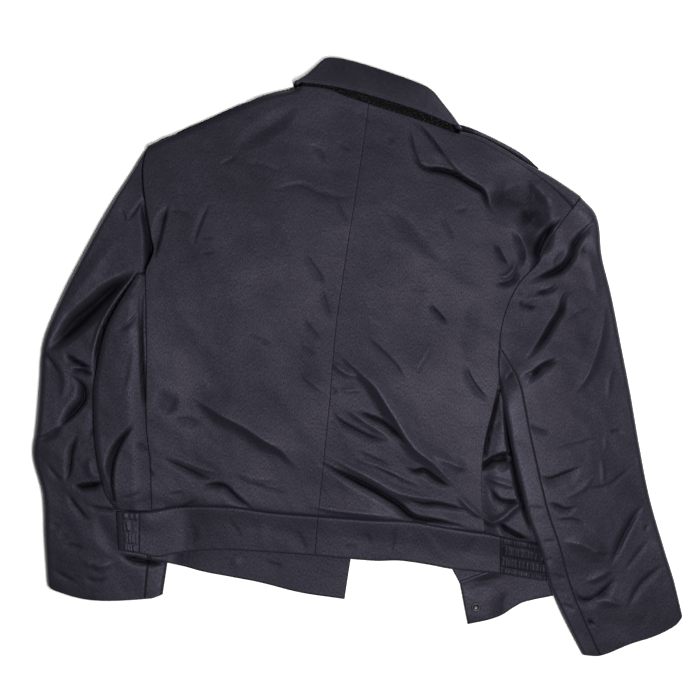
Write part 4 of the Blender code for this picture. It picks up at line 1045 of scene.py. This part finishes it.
class Surface:
    """A material and its node tree, with its Principled shader."""

    def __init__(self, name, colour, roughness, **sockets):
        self.material = bpy.data.materials.new(name)
        self.material.use_nodes = True
        self.tree = self.material.node_tree
        self.shader = self.tree.nodes["Principled BSDF"]
        self.shader.inputs["Base Color"].default_value = linear(colour)
        self.shader.inputs["Roughness"].default_value = roughness
        for socket, value in sockets.items():
            self.shader.inputs[socket.replace("_", " ")].default_value = value

    def node(self, kind, settings=None, **inputs):
        """Adds a node: its settings by attribute, its inputs as values or as sockets to link."""
        made = self.tree.nodes.new("ShaderNode" + kind)
        for key, value in (settings or {}).items():
            setattr(made, key, value)
        for key, value in inputs.items():
            name = key.replace("_", " ")
            socket = made.inputs[int(key[1:]) if key[0] == "i" and key[1:].isdigit() else name]
            if isinstance(value, bpy.types.NodeSocket):
                self.tree.links.new(value, socket)
            else:
                socket.default_value = value
        return made

    def feed(self, socket, value):
        self.tree.links.new(value, self.shader.inputs[socket])

    def noise(self, place, scale, detail, roughness=0.5):
        settings = {"Vector": place, "Scale": scale, "Detail": detail, "Roughness": roughness}
        return self.node("TexNoise", None, **settings).outputs["Fac"]

    def ranged(self, value, low, high, to_low, to_high):
        """The value moved from the range low to high into another one."""
        return self.node("MapRange", None, Value=value, i1=low, i2=high, i3=to_low, i4=to_high).outputs[0]

    def mixed(self, factor, first, second):
        made = self.node("Mix", {"data_type": "RGBA"}, Factor=factor, A=first, B=second)
        return made.outputs["Result"]

    def tinted(self, value, *stops):
        """A colour for the value, between two stops of (value, sRGB colour)."""
        made = self.node("ValToRGB", None, Fac=value)
        for element, (position, code) in zip(made.color_ramp.elements, stops):
            element.position, element.color = position, linear(code)
        return made.outputs[0]

    def bump(self, height, distance, strength, **over):
        made = self.node("Bump", None, Height=height, Distance=distance, Strength=strength, **over)
        return made.outputs[0]


def cloth_space(surface, turn=0.0, stretch=(1.0, 1.0, 1.0)):
    """The cloth's own flat coordinates, in metres along weft and warp."""
    flat = surface.node("UVMap", {"uv_map": "Cloth"})
    placed_in = {"Rotation": (0, 0, turn), "Scale": stretch}
    return surface.node("Mapping", None, Vector=flat.outputs[0], **placed_in).outputs[0]


def gabardine(name, colour, light_colour, sheen):
    """Navy wool gabardine: a steep fine twill, a soft satin sheen, slight wear and lint, and painted shade
    in the creases with painted highlight on the raised folds.
    """
    s = Surface(name, colour, 0.6, Specular_IOR_Level=0.17, Sheen_Weight=sheen, Sheen_Roughness=0.42)
    s.shader.inputs["Specular Tint"].default_value = linear("dcd6fb")
    s.shader.inputs["Sheen Tint"].default_value = linear("9c98c0")
    place = s.node("TexCoord").outputs["Object"]
    # Painted shade and highlight from the Relief attribute: the creases are painted darker, down to near
    # black and with less sheen, and the raised folds get more specular than flat cloth, standing in for the
    # shade and light the folds catch.
    relief = s.node("Attribute", {"attribute_name": "Relief"}).outputs["Fac"]
    painted_crease_shade = s.ranged(relief, 0.0, -1.0, 0.0, 0.92)
    shine = s.ranged(relief, -0.9, 0.9, 0.3, 1.7)
    # Wear and handling: broad, faint patches that are slightly lighter and smoother.
    patches = s.noise(place, 9.0, 3.0, 0.55)
    # Dyed wool is never quite even: flecks of the yarn, drawn about 3 mm long along the warp.
    yarn = s.noise(cloth_space(s, 0.0, (1.0, 0.35, 1.0)), 900.0, 2.0)
    shade = s.node("Math", {"operation": "MULTIPLY_ADD"}, i0=yarn, i1=0.45, i2=0.1).outputs[0]
    tone = s.node("Math", {"operation": "MULTIPLY_ADD"}, i0=patches, i1=0.55, i2=shade).outputs[0]
    dyed = s.tinted(tone, (0.35, colour), (0.85, light_colour))
    # Lint: a few pale fibres and specks that caught on the cloth.
    lint = s.node("TexVoronoi", {"feature": "F1"}, Vector=place, Scale=62.0, Randomness=1.0)
    dusty = s.mixed(s.ranged(lint.outputs["Distance"], 0.03, 0.015, 0.0, 0.14), dyed, linear("8b8b93"))
    # Steep twill ribs, 0.8 mm apart, with a darker furrow between them.
    ribs = s.node(
        "TexWave", {"bands_direction": "X", "wave_profile": "SIN"},
        Vector=cloth_space(s, math.radians(27)), Scale=390.0, Distortion=0.6, Detail=1.0, Detail_Scale=2.0,
    )
    twill = s.mixed(s.ranged(ribs.outputs["Fac"], 0.0, 0.5, 0.35, 0.0), dusty, linear("08080b"))
    # Painted shade: the base colour is mixed towards near black down in the creases.
    s.feed("Base Color", s.mixed(painted_crease_shade, twill, linear("040406")))
    # Small puckers of pressed wool, 4 to 12 mm across, and the nap, 2 to 3 mm, too small for the mesh.
    puckers = s.bump(s.noise(place, 90.0, 2.0, 0.6), 0.001, 0.34)
    s.feed("Normal", s.bump(s.noise(place, 420.0, 2.0, 0.8), 0.0006, 0.32, Normal=puckers))
    # Yarns catch the light unevenly; on top of that the painted crest highlight raises this specular on
    # raised folds and lowers it in the creases.
    glint = s.ranged(yarn, 0.3, 0.7, 0.07, 0.27)
    yarn_glint_with_painted_highlight = s.node("Math", {"operation": "MULTIPLY"}, i0=glint, i1=shine)
    s.feed("Specular IOR Level", yarn_glint_with_painted_highlight.outputs[0])
    # Painted shade: the sheen fades out down in the creases.
    s.feed("Sheen Weight", s.ranged(painted_crease_shade, 0.0, 1.0, sheen, 0.0))
    s.feed("Roughness", s.ranged(patches, 0.3, 0.7, 0.57, 0.48))
    return s.material


def felt():
    """Undercollar felt: matt, near black, flecked with pale fibres."""
    s = Surface("collar felt", "0c0b0e", 0.95, Specular_IOR_Level=0.05, Sheen_Weight=0.03)
    place = s.node("TexCoord").outputs["Object"]
    # Matted fibres, about 1 mm across.
    fibres = s.noise(place, 700.0, 4.0, 0.75)
    s.feed("Base Color", s.tinted(fibres, (0.53, "030304"), (0.74, "48474c")))
    s.feed("Normal", s.bump(fibres, 0.0006, 0.9))
    return s.material


def thread(name, colour):
    """Polished sewing thread: a slight shine and the twist of its plies, about 0.5 mm apart."""
    s = Surface(name, colour, 0.6, Specular_IOR_Level=0.2)
    place = s.node("TexCoord").outputs["Object"]
    twist = s.node("TexWave", {"bands_direction": "DIAGONAL"}, Vector=place, Scale=700.0, Distortion=0.5)
    s.feed("Normal", s.bump(twist.outputs["Fac"], 0.0001, 0.7))
    return s.material


def dark_metal():
    """Oxidised brass of the buttons: almost black, with lighter and darker blotches of tarnish."""
    s = Surface("oxidised brass", "232226", 0.5, Metallic=0.6)
    place = s.node("TexCoord").outputs["Object"]
    # Tarnish in blotches of 2 to 4 mm.
    blotch = s.noise(place, 320.0, 4.0, 0.6)
    s.feed("Base Color", s.tinted(blotch, (0.35, "17161a"), (0.75, "38373c")))
    s.feed("Roughness", s.ranged(blotch, 0.3, 0.7, 0.5, 0.3))
    s.feed("Normal", s.bump(blotch, 0.0002, 0.4))
    return s.material


def paper():
    """The pale matt surface the jacket lies on, with a barely visible grain of about 2 mm."""
    s = Surface("studio paper", "fcfcfc", 0.9, Specular_IOR_Level=0.1)
    place = s.node("TexCoord").outputs["Object"]
    s.feed("Normal", s.bump(s.noise(place, 500.0, 2.0), 0.0001, 0.2))
    return s.material


# ---------------------------------------------------------------- pieces

def strap(edge):
    """A shoulder strap that lies on the table under its shoulder, its edge just beyond it."""
    line = smooth_line(edge)
    vs = shares_for(line_length(line), BAND_CELL)
    rail = along(line, vs)
    us = seam_shares(STRAP_WIDTH, BAND_CELL)
    plan = rail[:, None] + sideways(rail)[:, None] * us[None, :, None] * STRAP_WIDTH
    down = smooth_step((us * STRAP_WIDTH - STRAP_CREST) / (STRAP_SHOWN - STRAP_CREST))
    raised = STRAP_LIFT * (1 - down)[None, :]
    ends = [smooth_step(share / STRAP_FADE)[:, None] for share in (vs, 1 - vs)]
    return with_height(plan, raised * ends[0] * ends[1])


def sleeve(rows, armhole, cuff, underside, upper, folds, head_from):
    """Rings of points round a flat sleeve, cut at its two seams: (under sleeve, top sleeve)."""
    table = smooth_line(rows, 6)
    length = line_length(table)
    stations = seam_shares(length, SLEEVE_CELL)
    row = along(table, stations)
    outer, inner = row[:, 0:2], row[:, 2:4]
    near = 1 - smooth_step(stations * length / HEAD_LENGTH)
    far = 1 - smooth_step((1 - stations) * length / CUFF_LENGTH)
    width = np.linalg.norm(outer - inner, axis=1).mean()
    reach = EDGE_REACH / width
    armhole_line, cuff_line = smooth_line(armhole), smooth_line(cuff)
    from_seam = smooth_step(stations * length / HEAD_CLEAR)

    def at(share):
        """Plan, lower and upper height at this share of the way from the inner to the outer edge."""
        plan = inner + (outer - inner) * share
        at_armhole = along(armhole_line, [1 - share])[0] - plan[0]
        at_cuff = along(cuff_line, [1 - share])[0] - plan[-1]
        plan = plan + at_armhole * near[:, None] + at_cuff * far[:, None]
        x, y = plan[:, 0], plan[:, 1]
        low = underside(x, y)
        own = row[:, 5] + (row[:, 4] - row[:, 5]) * share
        own = own + 4 * SLEEVE_PUFF * share * (1 - share)
        head = near * smooth_step((share - head_from) / HEAD_BLEND)
        own = own * (1 - head) + upper(x, y) * head
        own = own + (fold_height(x, y, folds) + ripple(x, y)) * from_seam
        return plan, low, smooth_max(own, low + 2 * CLOTH + SLEEVE_HOLLOW)

    def flat(start, end, face):
        columns = []
        for share in np.linspace(start, end, max(3, round(abs(end - start) * width / SLEEVE_CELL)) + 1):
            plan, low, high = at(share)
            columns.append(with_height(plan, high if face == "upper" else low))
        return np.stack(columns, axis=1)

    def round_edge(share, edge_share, angles):
        plan, low, high = at(share)
        edge, edge_low, _ = at(edge_share)
        low = np.maximum(low, edge_low)
        inward, span = unit(plan - edge)
        return turned_edge(edge, inward, span, high, low, angles)

    under = (
        flat(FOREARM_SHARE, reach, "lower"),
        round_edge(reach, 0.0, -SLEEVE_TURN),
        flat(reach, HINDARM_SHARE, "upper"),
    )
    top = (
        flat(HINDARM_SHARE, 1 - reach, "upper"),
        round_edge(1 - reach, 1.0, SLEEVE_TURN),
        flat(1 - reach, FOREARM_SHARE, "lower"),
    )
    pieces = [parted(np.concatenate(p, axis=1), LEFT_RIGHT, SEAM_GAP) for p in (under, top)]
    return [parted(piece, ("v0",), CURVED_SEAM_GAP) for piece in pieces] + [row]


def side_panel(pleat, edge, upper, lower):
    """The back's side: it laps under the pleat, then turns round the body's edge."""
    pleat_line, edge_line = smooth_line(pleat), smooth_line(edge)
    vs = shares_for(line_length(edge_line), BODY_CELL)
    pleat_at, edge_at = along(pleat_line, vs), along(edge_line, vs)
    inward, width = unit(pleat_at - edge_at)
    reach = np.minimum(EDGE_REACH, EDGE_SHARE * width)
    lap = PLEAT_LAP * np.minimum(1.0, width / NARROW_SIDE) * smooth_step((1 - vs) / LAP_FADE)
    columns = round(width.mean() / BODY_CELL) + 4
    from_pleat = np.linspace(0.0, 1.0, columns)[None, :] * (width + lap - reach)[:, None]
    plan = (pleat_at + inward * lap[:, None])[:, None] - inward[:, None] * from_pleat[..., None]
    tucked = 1 - smooth_step((from_pleat - lap[:, None]) / PLEAT_BLEND)
    x, y = plan[..., 0], plan[..., 1]
    height = np.maximum(upper(x, y) - (CLOTH + LAY_GAP + TUCK_DROP) * tucked, lower(x, y) + CLOTH)
    low = height_at(lower, edge_at)
    turn = turned_edge(edge_at, inward, reach, height[:, -1], low, SIDE_TURN)
    return parted(np.concatenate([with_height(plan, height), turn], axis=1), ("v1",))


def elastic_rails(ends, vs):
    """The two rails of an elastic end, from hem to waist: its inner seam and the body's edge."""
    (top_start, top_edge), (hem_start, hem_edge) = np.array(ends, float)
    start = hem_start + (top_start - hem_start) * vs[:, None]
    edge_at = hem_edge + (top_edge - hem_edge) * vs[:, None]
    return (start, edge_at, *unit(start - edge_at))


def elastic_tail(ends, lower, tail, vs, cell):
    """The part of an elastic end that lies behind, from the turned edge to the front's waistband."""
    _, edge_at, inward, _ = elastic_rails(ends, vs)
    reach = shares_for(tail - EDGE_REACH, cell) * (tail - EDGE_REACH) + EDGE_REACH
    behind = edge_at[:, None] + inward[:, None] * reach[None, :, None]
    behind[..., 1] -= (TAIL_DROP * vs)[:, None]
    return with_height(behind, height_at(lower, behind))


def gathers(run, share, shown):
    """Puckers between the rows of elastic thread: uneven in width and height, each bay with its own."""
    rows = np.array(ELASTIC_ROWS)
    bay = np.clip(np.searchsorted(rows, share, side="right") - 1, 0, len(rows) - 2)
    height = np.zeros(run.shape)
    for k in range(len(rows) - 1):
        chance = np.random.default_rng(k + GATHER_SEED)
        pitch = GATHER_PITCH * chance.uniform(*GATHER_SPACING, int(2 * shown / GATHER_PITCH))
        stops = np.cumsum(pitch) - GATHER_PITCH
        size = chance.uniform(*GATHER_SIZES, len(stops))
        lean = chance.uniform(-GATHER_LEAN, GATHER_LEAN) * np.sin(6.0 * share)
        n = np.clip(np.searchsorted(stops, run + lean) - 1, 0, len(stops) - 2)
        t = np.clip((run + lean - stops[n]) / (stops[n + 1] - stops[n]), 0.0, 1.0)
        height = np.where(bay == k, size[n] * np.sin(math.pi * t) ** 1.5, height)
    to_row = np.abs(share[..., None] - rows).min(axis=-1)
    swell = smooth_step(to_row / ROW_PINCH)
    return GATHER_RISE * (height * swell - ROW_SINK * (1 - swell))


def elastic_end(ends, upper, lower, tail, gathered):
    """A gathered elastic end of the waistband that turns under at the body's edge."""
    vs = seam_shares(WAISTBAND_DEPTH, ELASTIC_CELL)
    start, edge_at, inward, width = elastic_rails(ends, vs)
    reach = np.full(len(start), EDGE_REACH)
    shown = width.mean() - EDGE_REACH
    us = shares_for(shown, ELASTIC_CELL)
    plan = start[:, None] + (edge_at + inward * reach[:, None] - start)[:, None] * us[None, :, None]
    faded = smooth_step(8 * us) * smooth_step(12 - 12 * us)
    run, share = np.meshgrid(us * shown, vs)
    waves = gathered * (gathers(run, share, shown) + ELASTIC_LIFT) * faded
    height = height_at(upper, plan) + waves
    low = height_at(lower, edge_at)
    turn = turned_edge(edge_at, inward, reach, height[:, -1], low, TURN)
    behind = elastic_tail(ends, lower, tail, vs, ELASTIC_CELL)
    grid = parted(np.concatenate([with_height(plan, height), turn, behind], axis=1), ("u0", "v1"))
    return rolled(grid, LOW_HIGH, EDGE_ROLL)


def collar_layer(low_back, lift, inset, table_height):
    """One layer of the collar: front left on the table, over its turned end, the back, and round again."""
    vs = seam_shares(COLLAR_DEPTH, COLLAR_CELL)
    fold = smooth_line([(x, y - FOLD_INSET * inset) for x, y in COLLAR_FOLD])
    us = shares_for(line_length(fold), COLLAR_CELL)
    ends = [
        smooth_line([tuple(low_back[k]), *end[1:]])
        for k, end in ((0, COLLAR_END_LEFT), (-1, COLLAR_END_RIGHT))
    ]
    back = coons(low_back, fold, ends[0], ends[1], us, vs)
    from_end = np.minimum(us, 1 - us) * line_length(fold)
    drawn = END_DRAWN * inset * (1 - smooth_step(from_end / END_FADE))
    back += across(back, "v0") * drawn[None, :, None] * (1 - vs)[:, None, None]
    reach = np.full(len(vs), EDGE_REACH - inset)
    parts = []
    for column, beside_it, front_end in ((0, 3, COLLAR_FRONT_ENDS[0]), (-1, -4, COLLAR_FRONT_ENDS[1])):
        inward = sideways(back[:, column])
        inward *= np.sign(np.sum(inward * (back[:, beside_it] - back[:, column])))
        edge_at = back[:, column] + inward * inset
        low = np.full(len(vs), table_height)
        high = lift(edge_at[:, 0], edge_at[:, 1], vs)
        turn = turned_edge(edge_at, inward, reach, high, low, TURN)
        near = edge_at + inward * reach[:, None]
        end_low, end_high = np.array(front_end, float)
        far = end_low + (end_high - end_low) * vs[:, None]
        shares = np.linspace(0.0, 1.0, COLLAR_FRONT_COLUMNS)
        front = near[:, None] + (far - near)[:, None] * shares[None, :, None]
        front = with_height(front, np.full(front.shape[:2], table_height))
        parts.append(np.concatenate([turn, front], axis=1))
    clear = max(2, round(inset / COLLAR_CELL) + 2)
    middle = back[:, clear:-clear]
    middle = with_height(middle, lift(middle[..., 0], middle[..., 1], vs[:, None]))
    return np.concatenate([parts[0][:, ::-1], middle, parts[1]], axis=1)


def front_left(underside):
    """The plan of the left front from its side to its front edge, resting on what lies there."""
    body_edge = smooth_line([(x + FRONT_INSET, y) for x, y in EDGE_LEFT[::-1]])
    armhole = smooth_line([ARMPIT_LEFT, *[(x + 1, y) for x, y in ARMHOLE_LEFT[-3::-1]]])
    outline = np.vstack([body_edge, armhole])
    hem = smooth_line([tuple(body_edge[0]), *TAB_LEFT_TOP])
    centre = joined(FRONT_EDGE_LEFT[::-1], NECK_FRONT_LEFT[::-1])
    top = smooth_line([(x + 1.5, y - 3.0) for x, y in SHOULDER_LEFT])
    outline[-1], centre[-1] = top[0], top[-1]
    plan = coons(hem, top, outline, centre, *[shares_for(size, FRONT_CELL) for size in FRONT_LEFT_SIZE])
    return with_height(plan, height_at(underside, plan))


def front_right(underside, upper, lay):
    """The right front on the table, turned up over the shoulder to the back's shoulder seam."""
    body_edge = smooth_line([(x - FRONT_INSET, y) for x, y in EDGE_RIGHT[::-1]])
    side = np.vstack([body_edge, smooth_line(ARMHOLE_RIGHT[::-1])])
    hem = smooth_line(TAB_RIGHT_TOP)
    side[0] = hem[-1]
    centre = joined(FRONT_EDGE_RIGHT[::-1], NECK_FRONT_RIGHT[::-1])
    us, vs = (shares_for(size, FRONT_CELL / 2) for size in FRONT_RIGHT_SIZE)
    edge_at = along(smooth_line(SHOULDER_RIGHT_EDGE), us)
    seam_at = along(smooth_line(SHOULDER_RIGHT), us)
    inward, width = unit(seam_at - edge_at)
    reach = np.minimum(EDGE_REACH, 0.9 * width)
    top = edge_at + inward * reach[:, None]
    centre[-1], side[-1] = top[0], top[-1]
    plan = coons(hem, top, centre, side, us, vs)
    flat = with_height(plan, height_at(underside, plan))
    lay(flat + (0, 0, CLOTH))
    high = height_at(upper, seam_at)
    turn = turned_edge(edge_at, inward, reach, high, flat[-1, :, 2], FRONT_TURN)
    last = with_height(seam_at - inward * SEAM_GAP, high)
    return np.concatenate([flat, turn.transpose(1, 0, 2), last[None]], axis=0)


def band(top_line, hem, height):
    """A strip of the waistband between its upper seam and its hem, from left to right."""
    hem_line = smooth_line(hem)
    shares = seam_shares(line_length(hem_line), BAND_CELL)
    plan = ruled(hem_line, top_line, seam_shares(WAISTBAND_DEPTH, BAND_CELL), shares).transpose(1, 0, 2)
    grid = parted(with_height(plan, height_at(height, plan)), LEFT_RIGHT)
    return parted(grid, ("v1",), 2 * SEAM_GAP)


def half_back(bottom, top, left, right, upper):
    us, vs = (seam_shares(size, BODY_CELL) for size in BACK_SIZE)
    plan = coons(bottom, top, left, right, us, vs)
    return with_height(plan, height_at(upper, plan))


def build():
    navy = gabardine("navy gabardine", NAVY, NAVY_WORN, 0.12)
    band_navy = gabardine("navy gabardine of the waistband", NAVY, NAVY_WORN, 0.12)
    under_felt = felt()
    seam_thread = thread("navy sewing thread", "3a3945")
    hole_thread = thread("buttonhole twist", "1b1a20")
    metal = dark_metal()
    table = Table()

    for name, edge in (("epaulette_left", STRAP_LEFT), ("epaulette_right", STRAP_RIGHT)):
        grid = strap(edge)
        cloth(name, grid, navy, "above", (), STRAP_CLOTH)
        table.lay(grid + (0, 0, CLOTH))

    r, h = BUTTON_RADIUS, BUTTON_HEIGHT
    turned("button", [(r * a, h * b) for a, b in BUTTON_PROFILE], (*BUTTON_PLACE, 0.0), metal)
    x, y = BUTTON_PLACE
    table.lay(np.array([[(x - r, y - r, h), (x + r, y - r, h)], [(x - r, y + r, h), (x + r, y + r, h)]]))

    # The left sleeve lies on the table, and the body on it from the armpit down.
    under, top, row = sleeve(
        SLEEVE_LEFT, SLEEVE_HEAD_LEFT, CUFF_LEFT, on_table, loft, SLEEVE_LEFT_FOLDS, HEAD_FROM_LEFT
    )
    covered = int(np.argmax(row[:, 3] < ARMHOLE_LEFT[-1][1] - 4.0))
    table.lay(under)
    table.lay(top[covered:])
    cloth("sleeve_left_under", rolled(under, LEFT_RIGHT), navy, "above", LEFT_RIGHT)
    top = rolled(rolled(top, LEFT_RIGHT), ("v0",), HEAD_ROLL)
    cloth("sleeve_left_top", with_allowance(top, "u0"), navy, "below", LEFT_RIGHT)

    # The fronts and their waistbands.
    underside = resting_on(table.cover())
    grid = front_left(underside)
    cloth("front_left", parted(grid, ("u0", "v0")), navy, "above", ALL_ROUND)
    table.lay(grid + (0, 0, CLOTH))
    cover = None

    def raised(folds, unevenness=1.0):
        """An upper surface of the back: loft and folds, never nearer than a clear layer."""

        def height(x, y):
            inside = smooth_step((y - HEM_LEFT[2][1] - LIFT_FADE) / LIFT_FADE)
            lift = LOFT_LIFT[0] + LOFT_LIFT[1] * inside * smooth_step((COLLAR_FOLD[0][1] - y) / LIFT_FADE)
            own = lift + loft(x, y) + fold_height(x, y, folds) + unevenness * ripple(x, y)
            return smooth_max(own, cover(x, y) + CLOTH + pleat_room(x, y))

        return height

    upper = raised(BODY_FOLDS)
    upper_band = raised(BAND_FOLDS, BAND_UNEVENNESS)

    cover = underside
    grid = front_right(underside, upper, table.lay)
    cloth("front_right", parted(grid, ("u1", "v0")), navy, "above", ALL_ROUND)

    def tab(x, y):
        return underside(x, y) + TAB_LIFT + fold_height(x, y, TAB_FOLDS)

    def over_edge(grid):
        """The tab's top edge drawn over the lower edge of its front, so that no light falls between."""
        out = grid.copy()
        close = smooth_step((np.arange(len(grid)) - len(grid) + 5) / 4)[:, None]
        out[..., :2] -= across(grid, "v1")[None, :, :2] * (close * TAB_OVER)[..., None]
        out[..., 2] += close * TAB_OVER_LIFT
        return out

    seam = smooth_line([(EDGE_LEFT[-1][0] + FRONT_INSET, EDGE_LEFT[-1][1]), *TAB_LEFT_TOP])
    first = int(np.argmin(np.abs(seam[:, 0] - TAB_LEFT_TOP[0][0])))
    for name, line, hem in (
        ("waistband_front_left", seam[first:], TAB_LEFT_HEM),
        ("waistband_front_right", smooth_line(TAB_RIGHT_TOP), TAB_RIGHT_HEM),
    ):
        grid = band(line, hem, tab)
        upside = rolled(over_edge(grid + (0, 0, CLOTH)), ALL_ROUND, EDGE_ROLL)
        cloth(name, upside, band_navy, "below", ALL_ROUND)
        table.lay(grid + (0, 0, CLOTH))
        stitches(name + "_topstitching", beside(upside, "v0", TOPSTITCH_IN), seam_thread)

    r, h = BACKING_RADIUS, BACKING_HEIGHT
    seat = float(tab(*np.array(BUTTON_PLACE, float))) + CLOTH + SEAM_GAP
    turned("button_backing", [(r * a, h * b) for a, b in BACKING_PROFILE], (*BUTTON_PLACE, seat), metal)

    # The back, its sides and its waistband lie over the fronts.
    ends_left = [end[::-1] for end in ELASTIC_LEFT_ENDS]
    rails = np.linspace(0.0, 1.0, 20)
    table.lay(elastic_tail(ends_left, underside, ELASTIC_LEFT_TAIL, rails, TAIL_CELL) + (0, 0, CLOTH))
    cover = resting_on(table.cover(DRAPE_BODY))

    def back_side(name, pleat, edge, folds):
        grid = side_panel(pleat, edge, raised(folds), cover)
        cloth(name, rolled(grid, ("v0",), WAIST_ROLL), navy, "below", ("u0", "v0", "v1"))
        return grid

    def back_band(name, waist, hem):
        grid = rolled(rolled(band(waist, hem, upper_band), LOW_HIGH, EDGE_ROLL), LEFT_RIGHT)
        cloth(name, with_allowance(grid, "v1", drop=DEEP_DROP), band_navy, "below", ALL_ROUND)
        return grid

    waist = smooth_line(WAIST_LEFT)
    first = int(np.argmin(np.abs(waist[:, 0] - PLEAT_LEFT[-1][0])))
    sides = np.vstack([smooth_line(PLEAT_LEFT[::-1]), smooth_line(ARMHOLE_LEFT[::-1])])
    centre = smooth_line(CENTRE_BACK[::-1])
    shoulder = smooth_line(SHOULDER_LEFT)
    grid = half_back(waist[first:], joined(SHOULDER_LEFT, NECK_BACK_LEFT), sides, centre, upper)
    away = distance_to(shoulder, grid[..., 0], grid[..., 1])
    drop = np.sqrt(1 - (1 - np.clip(away / SHOULDER_ROUND, 0.0, 1.0)) ** 2)
    low = height_at(cover, grid) + CLOTH
    grid[..., 2] = low + (grid[..., 2] - low) * drop
    grid = rolled(rolled(parted(grid, ("u0", "u1", "v0")), LEFT_RIGHT), ("v0",), WAIST_ROLL)
    cloth("back_left", with_allowance(grid, "u1"), navy, "below", ALL_ROUND)
    back_side("side_left", PLEAT_LEFT, EDGE_LEFT, SIDE_LEFT_FOLDS)
    back_band("waistband_back_left", waist, HEM_LEFT)

    # What the right sleeve lies on is gathered on a table of its own.
    over = Table()
    waist = smooth_line(WAIST_RIGHT)
    last = int(np.argmin(np.abs(waist[:, 0] - PLEAT_RIGHT[-1][0]))) + 1
    sides = np.vstack([smooth_line(PLEAT_RIGHT[::-1]), smooth_line(ARMHOLE_RIGHT[::-1])])
    grid = half_back(waist[:last], joined(NECK_BACK_RIGHT, SHOULDER_RIGHT), centre, sides, upper)
    grid = rolled(rolled(parted(grid, ALL_ROUND), ("u0", "u1", "v1")), ("v0",), WAIST_ROLL)
    cloth("back_right", grid, navy, "below", ALL_ROUND)
    over.lay(back_side("side_right", PLEAT_RIGHT, EDGE_RIGHT, SIDE_RIGHT_FOLDS))
    over.lay(back_band("waistband_back_right", waist, HEM_RIGHT))

    grid = elastic_end(ends_left, upper_band, underside, ELASTIC_LEFT_TAIL, GATHERED_LEFT)
    cloth("elastic_left", grid, band_navy, "below", ALL_ROUND)
    grid = elastic_end(ELASTIC_RIGHT_ENDS, upper_band, underside, ELASTIC_RIGHT_TAIL, 1.0)
    cloth("elastic_right", grid, band_navy, "below", ALL_ROUND)
    over.lay(grid)

    # The right sleeve lies on the side of the body and falls to the table beyond it.
    over_body = resting_on(over.cover(DRAPE_SLEEVE))
    armhole = [SLEEVE_RIGHT[0][:2], *[(x + CURVED_SEAM_GAP, y) for x, y in ARMHOLE_RIGHT]]
    under, top, _ = sleeve(
        SLEEVE_RIGHT, armhole, CUFF_RIGHT, over_body, upper, SLEEVE_RIGHT_FOLDS, HEAD_FROM_RIGHT
    )
    under, top = (rolled(piece, ("u0", "u1", "v0")) for piece in (under, top))
    cloth("sleeve_right_under", under, navy, "above", LEFT_RIGHT)
    cloth("sleeve_right_top", with_allowance(top, "u0"), navy, "below", LEFT_RIGHT)

    # The collar's fall stands off the back more towards the right; its stand rises from the neck seam.
    def fall_lift(x, y, v):
        share = (x - COLLAR_X[0]) / (COLLAR_X[1] - COLLAR_X[0])
        stand_off = FALL_OFF[0] + FALL_OFF[1] * smooth_step(share)
        return upper(x, y) + CLOTH + FALL_CLEAR + stand_off * (1 - v)

    def stand_lift(x, y, v):
        return upper(x, y) - STAND_SINK * v

    fall = collar_layer(smooth_line(FALL_FREE), fall_lift, 0.0, 0.0)
    fall = rolled(fall, LOW_HIGH, EDGE_ROLL)
    cloth("collar_fall", fall, navy, "above", LEFT_RIGHT, COLLAR_CLOTH)
    stitches("collar_topstitching", beside(fall, "v0", COLLAR_TOPSTITCH_IN), seam_thread)
    neck = joined(NECK_BACK_LEFT, NECK_BACK_RIGHT)
    stand = collar_layer(neck, stand_lift, STAND_INSET, CLOTH + 2 * SEAM_GAP)
    stand = with_allowance(parted(stand, ("v0",), CURVED_SEAM_GAP), "v0", 2 * ALLOWANCE, DEEP_DROP)
    cloth("collar_stand", stand, under_felt, "above", LEFT_RIGHT)

    # The buttonhole of the left tab: its bar tack, its worked edge and the thread left hanging from it.
    for name, path, length, width, every in BUTTONHOLE:
        line = smooth_line(path)
        height = height_at(tab, line) + CLOTH + SEAM_GAP
        stitches(name, with_height(line, height), hole_thread, length, width, every)


# ---------------------------------------------------------------- camera, light and surface

def aimed(obj, target):
    obj.rotation_mode = "QUATERNION"
    obj.rotation_quaternion = (Vector(target) - obj.location).to_track_quat("-Z", "Y")


def area_light(name, place, size, power, colour):
    data = bpy.data.lights.new(name, "AREA")
    data.shape, data.size, data.energy, data.color = "DISK", size, power, linear(colour)[:3]
    obj = bpy.data.objects.new(name, data)
    bpy.context.scene.collection.objects.link(obj)
    obj.location = place
    aimed(obj, (0.0, 0.0, 0.0))


def studio():
    scene = bpy.context.scene
    camera = bpy.data.cameras.new("Camera")
    camera.sensor_width = SENSOR
    camera.lens = SENSOR * (CAMERA_HEIGHT - VIEW_LEVEL) / VIEW_WIDTH
    camera.clip_end = 50.0
    view = bpy.data.objects.new("Camera", camera)
    scene.collection.objects.link(view)
    view.location = (VIEW_CENTRE[0] * MM, VIEW_CENTRE[1] * MM, CAMERA_HEIGHT)
    view.rotation_euler = (0.0, 0.0, math.radians(VIEW_TURN))
    scene.camera = view

    bm = bmesh.new()
    bmesh.ops.create_grid(bm, x_segments=1, y_segments=1, size=FLOOR_SIZE)
    bmesh.ops.translate(bm, verts=bm.verts[:], vec=(0.0, 0.0, -FLOOR_DROP * MM))
    placed("floor", bm, paper())

    for light in LIGHTS:
        area_light(*light)
    world = bpy.data.worlds.new("Studio")
    world.use_nodes = True
    world.node_tree.nodes["Background"].inputs["Color"].default_value = linear("f4f6ff")
    world.node_tree.nodes["Background"].inputs["Strength"].default_value = FILL
    scene.world = world
    scene.view_settings.view_transform = "Standard"


build()
studio()
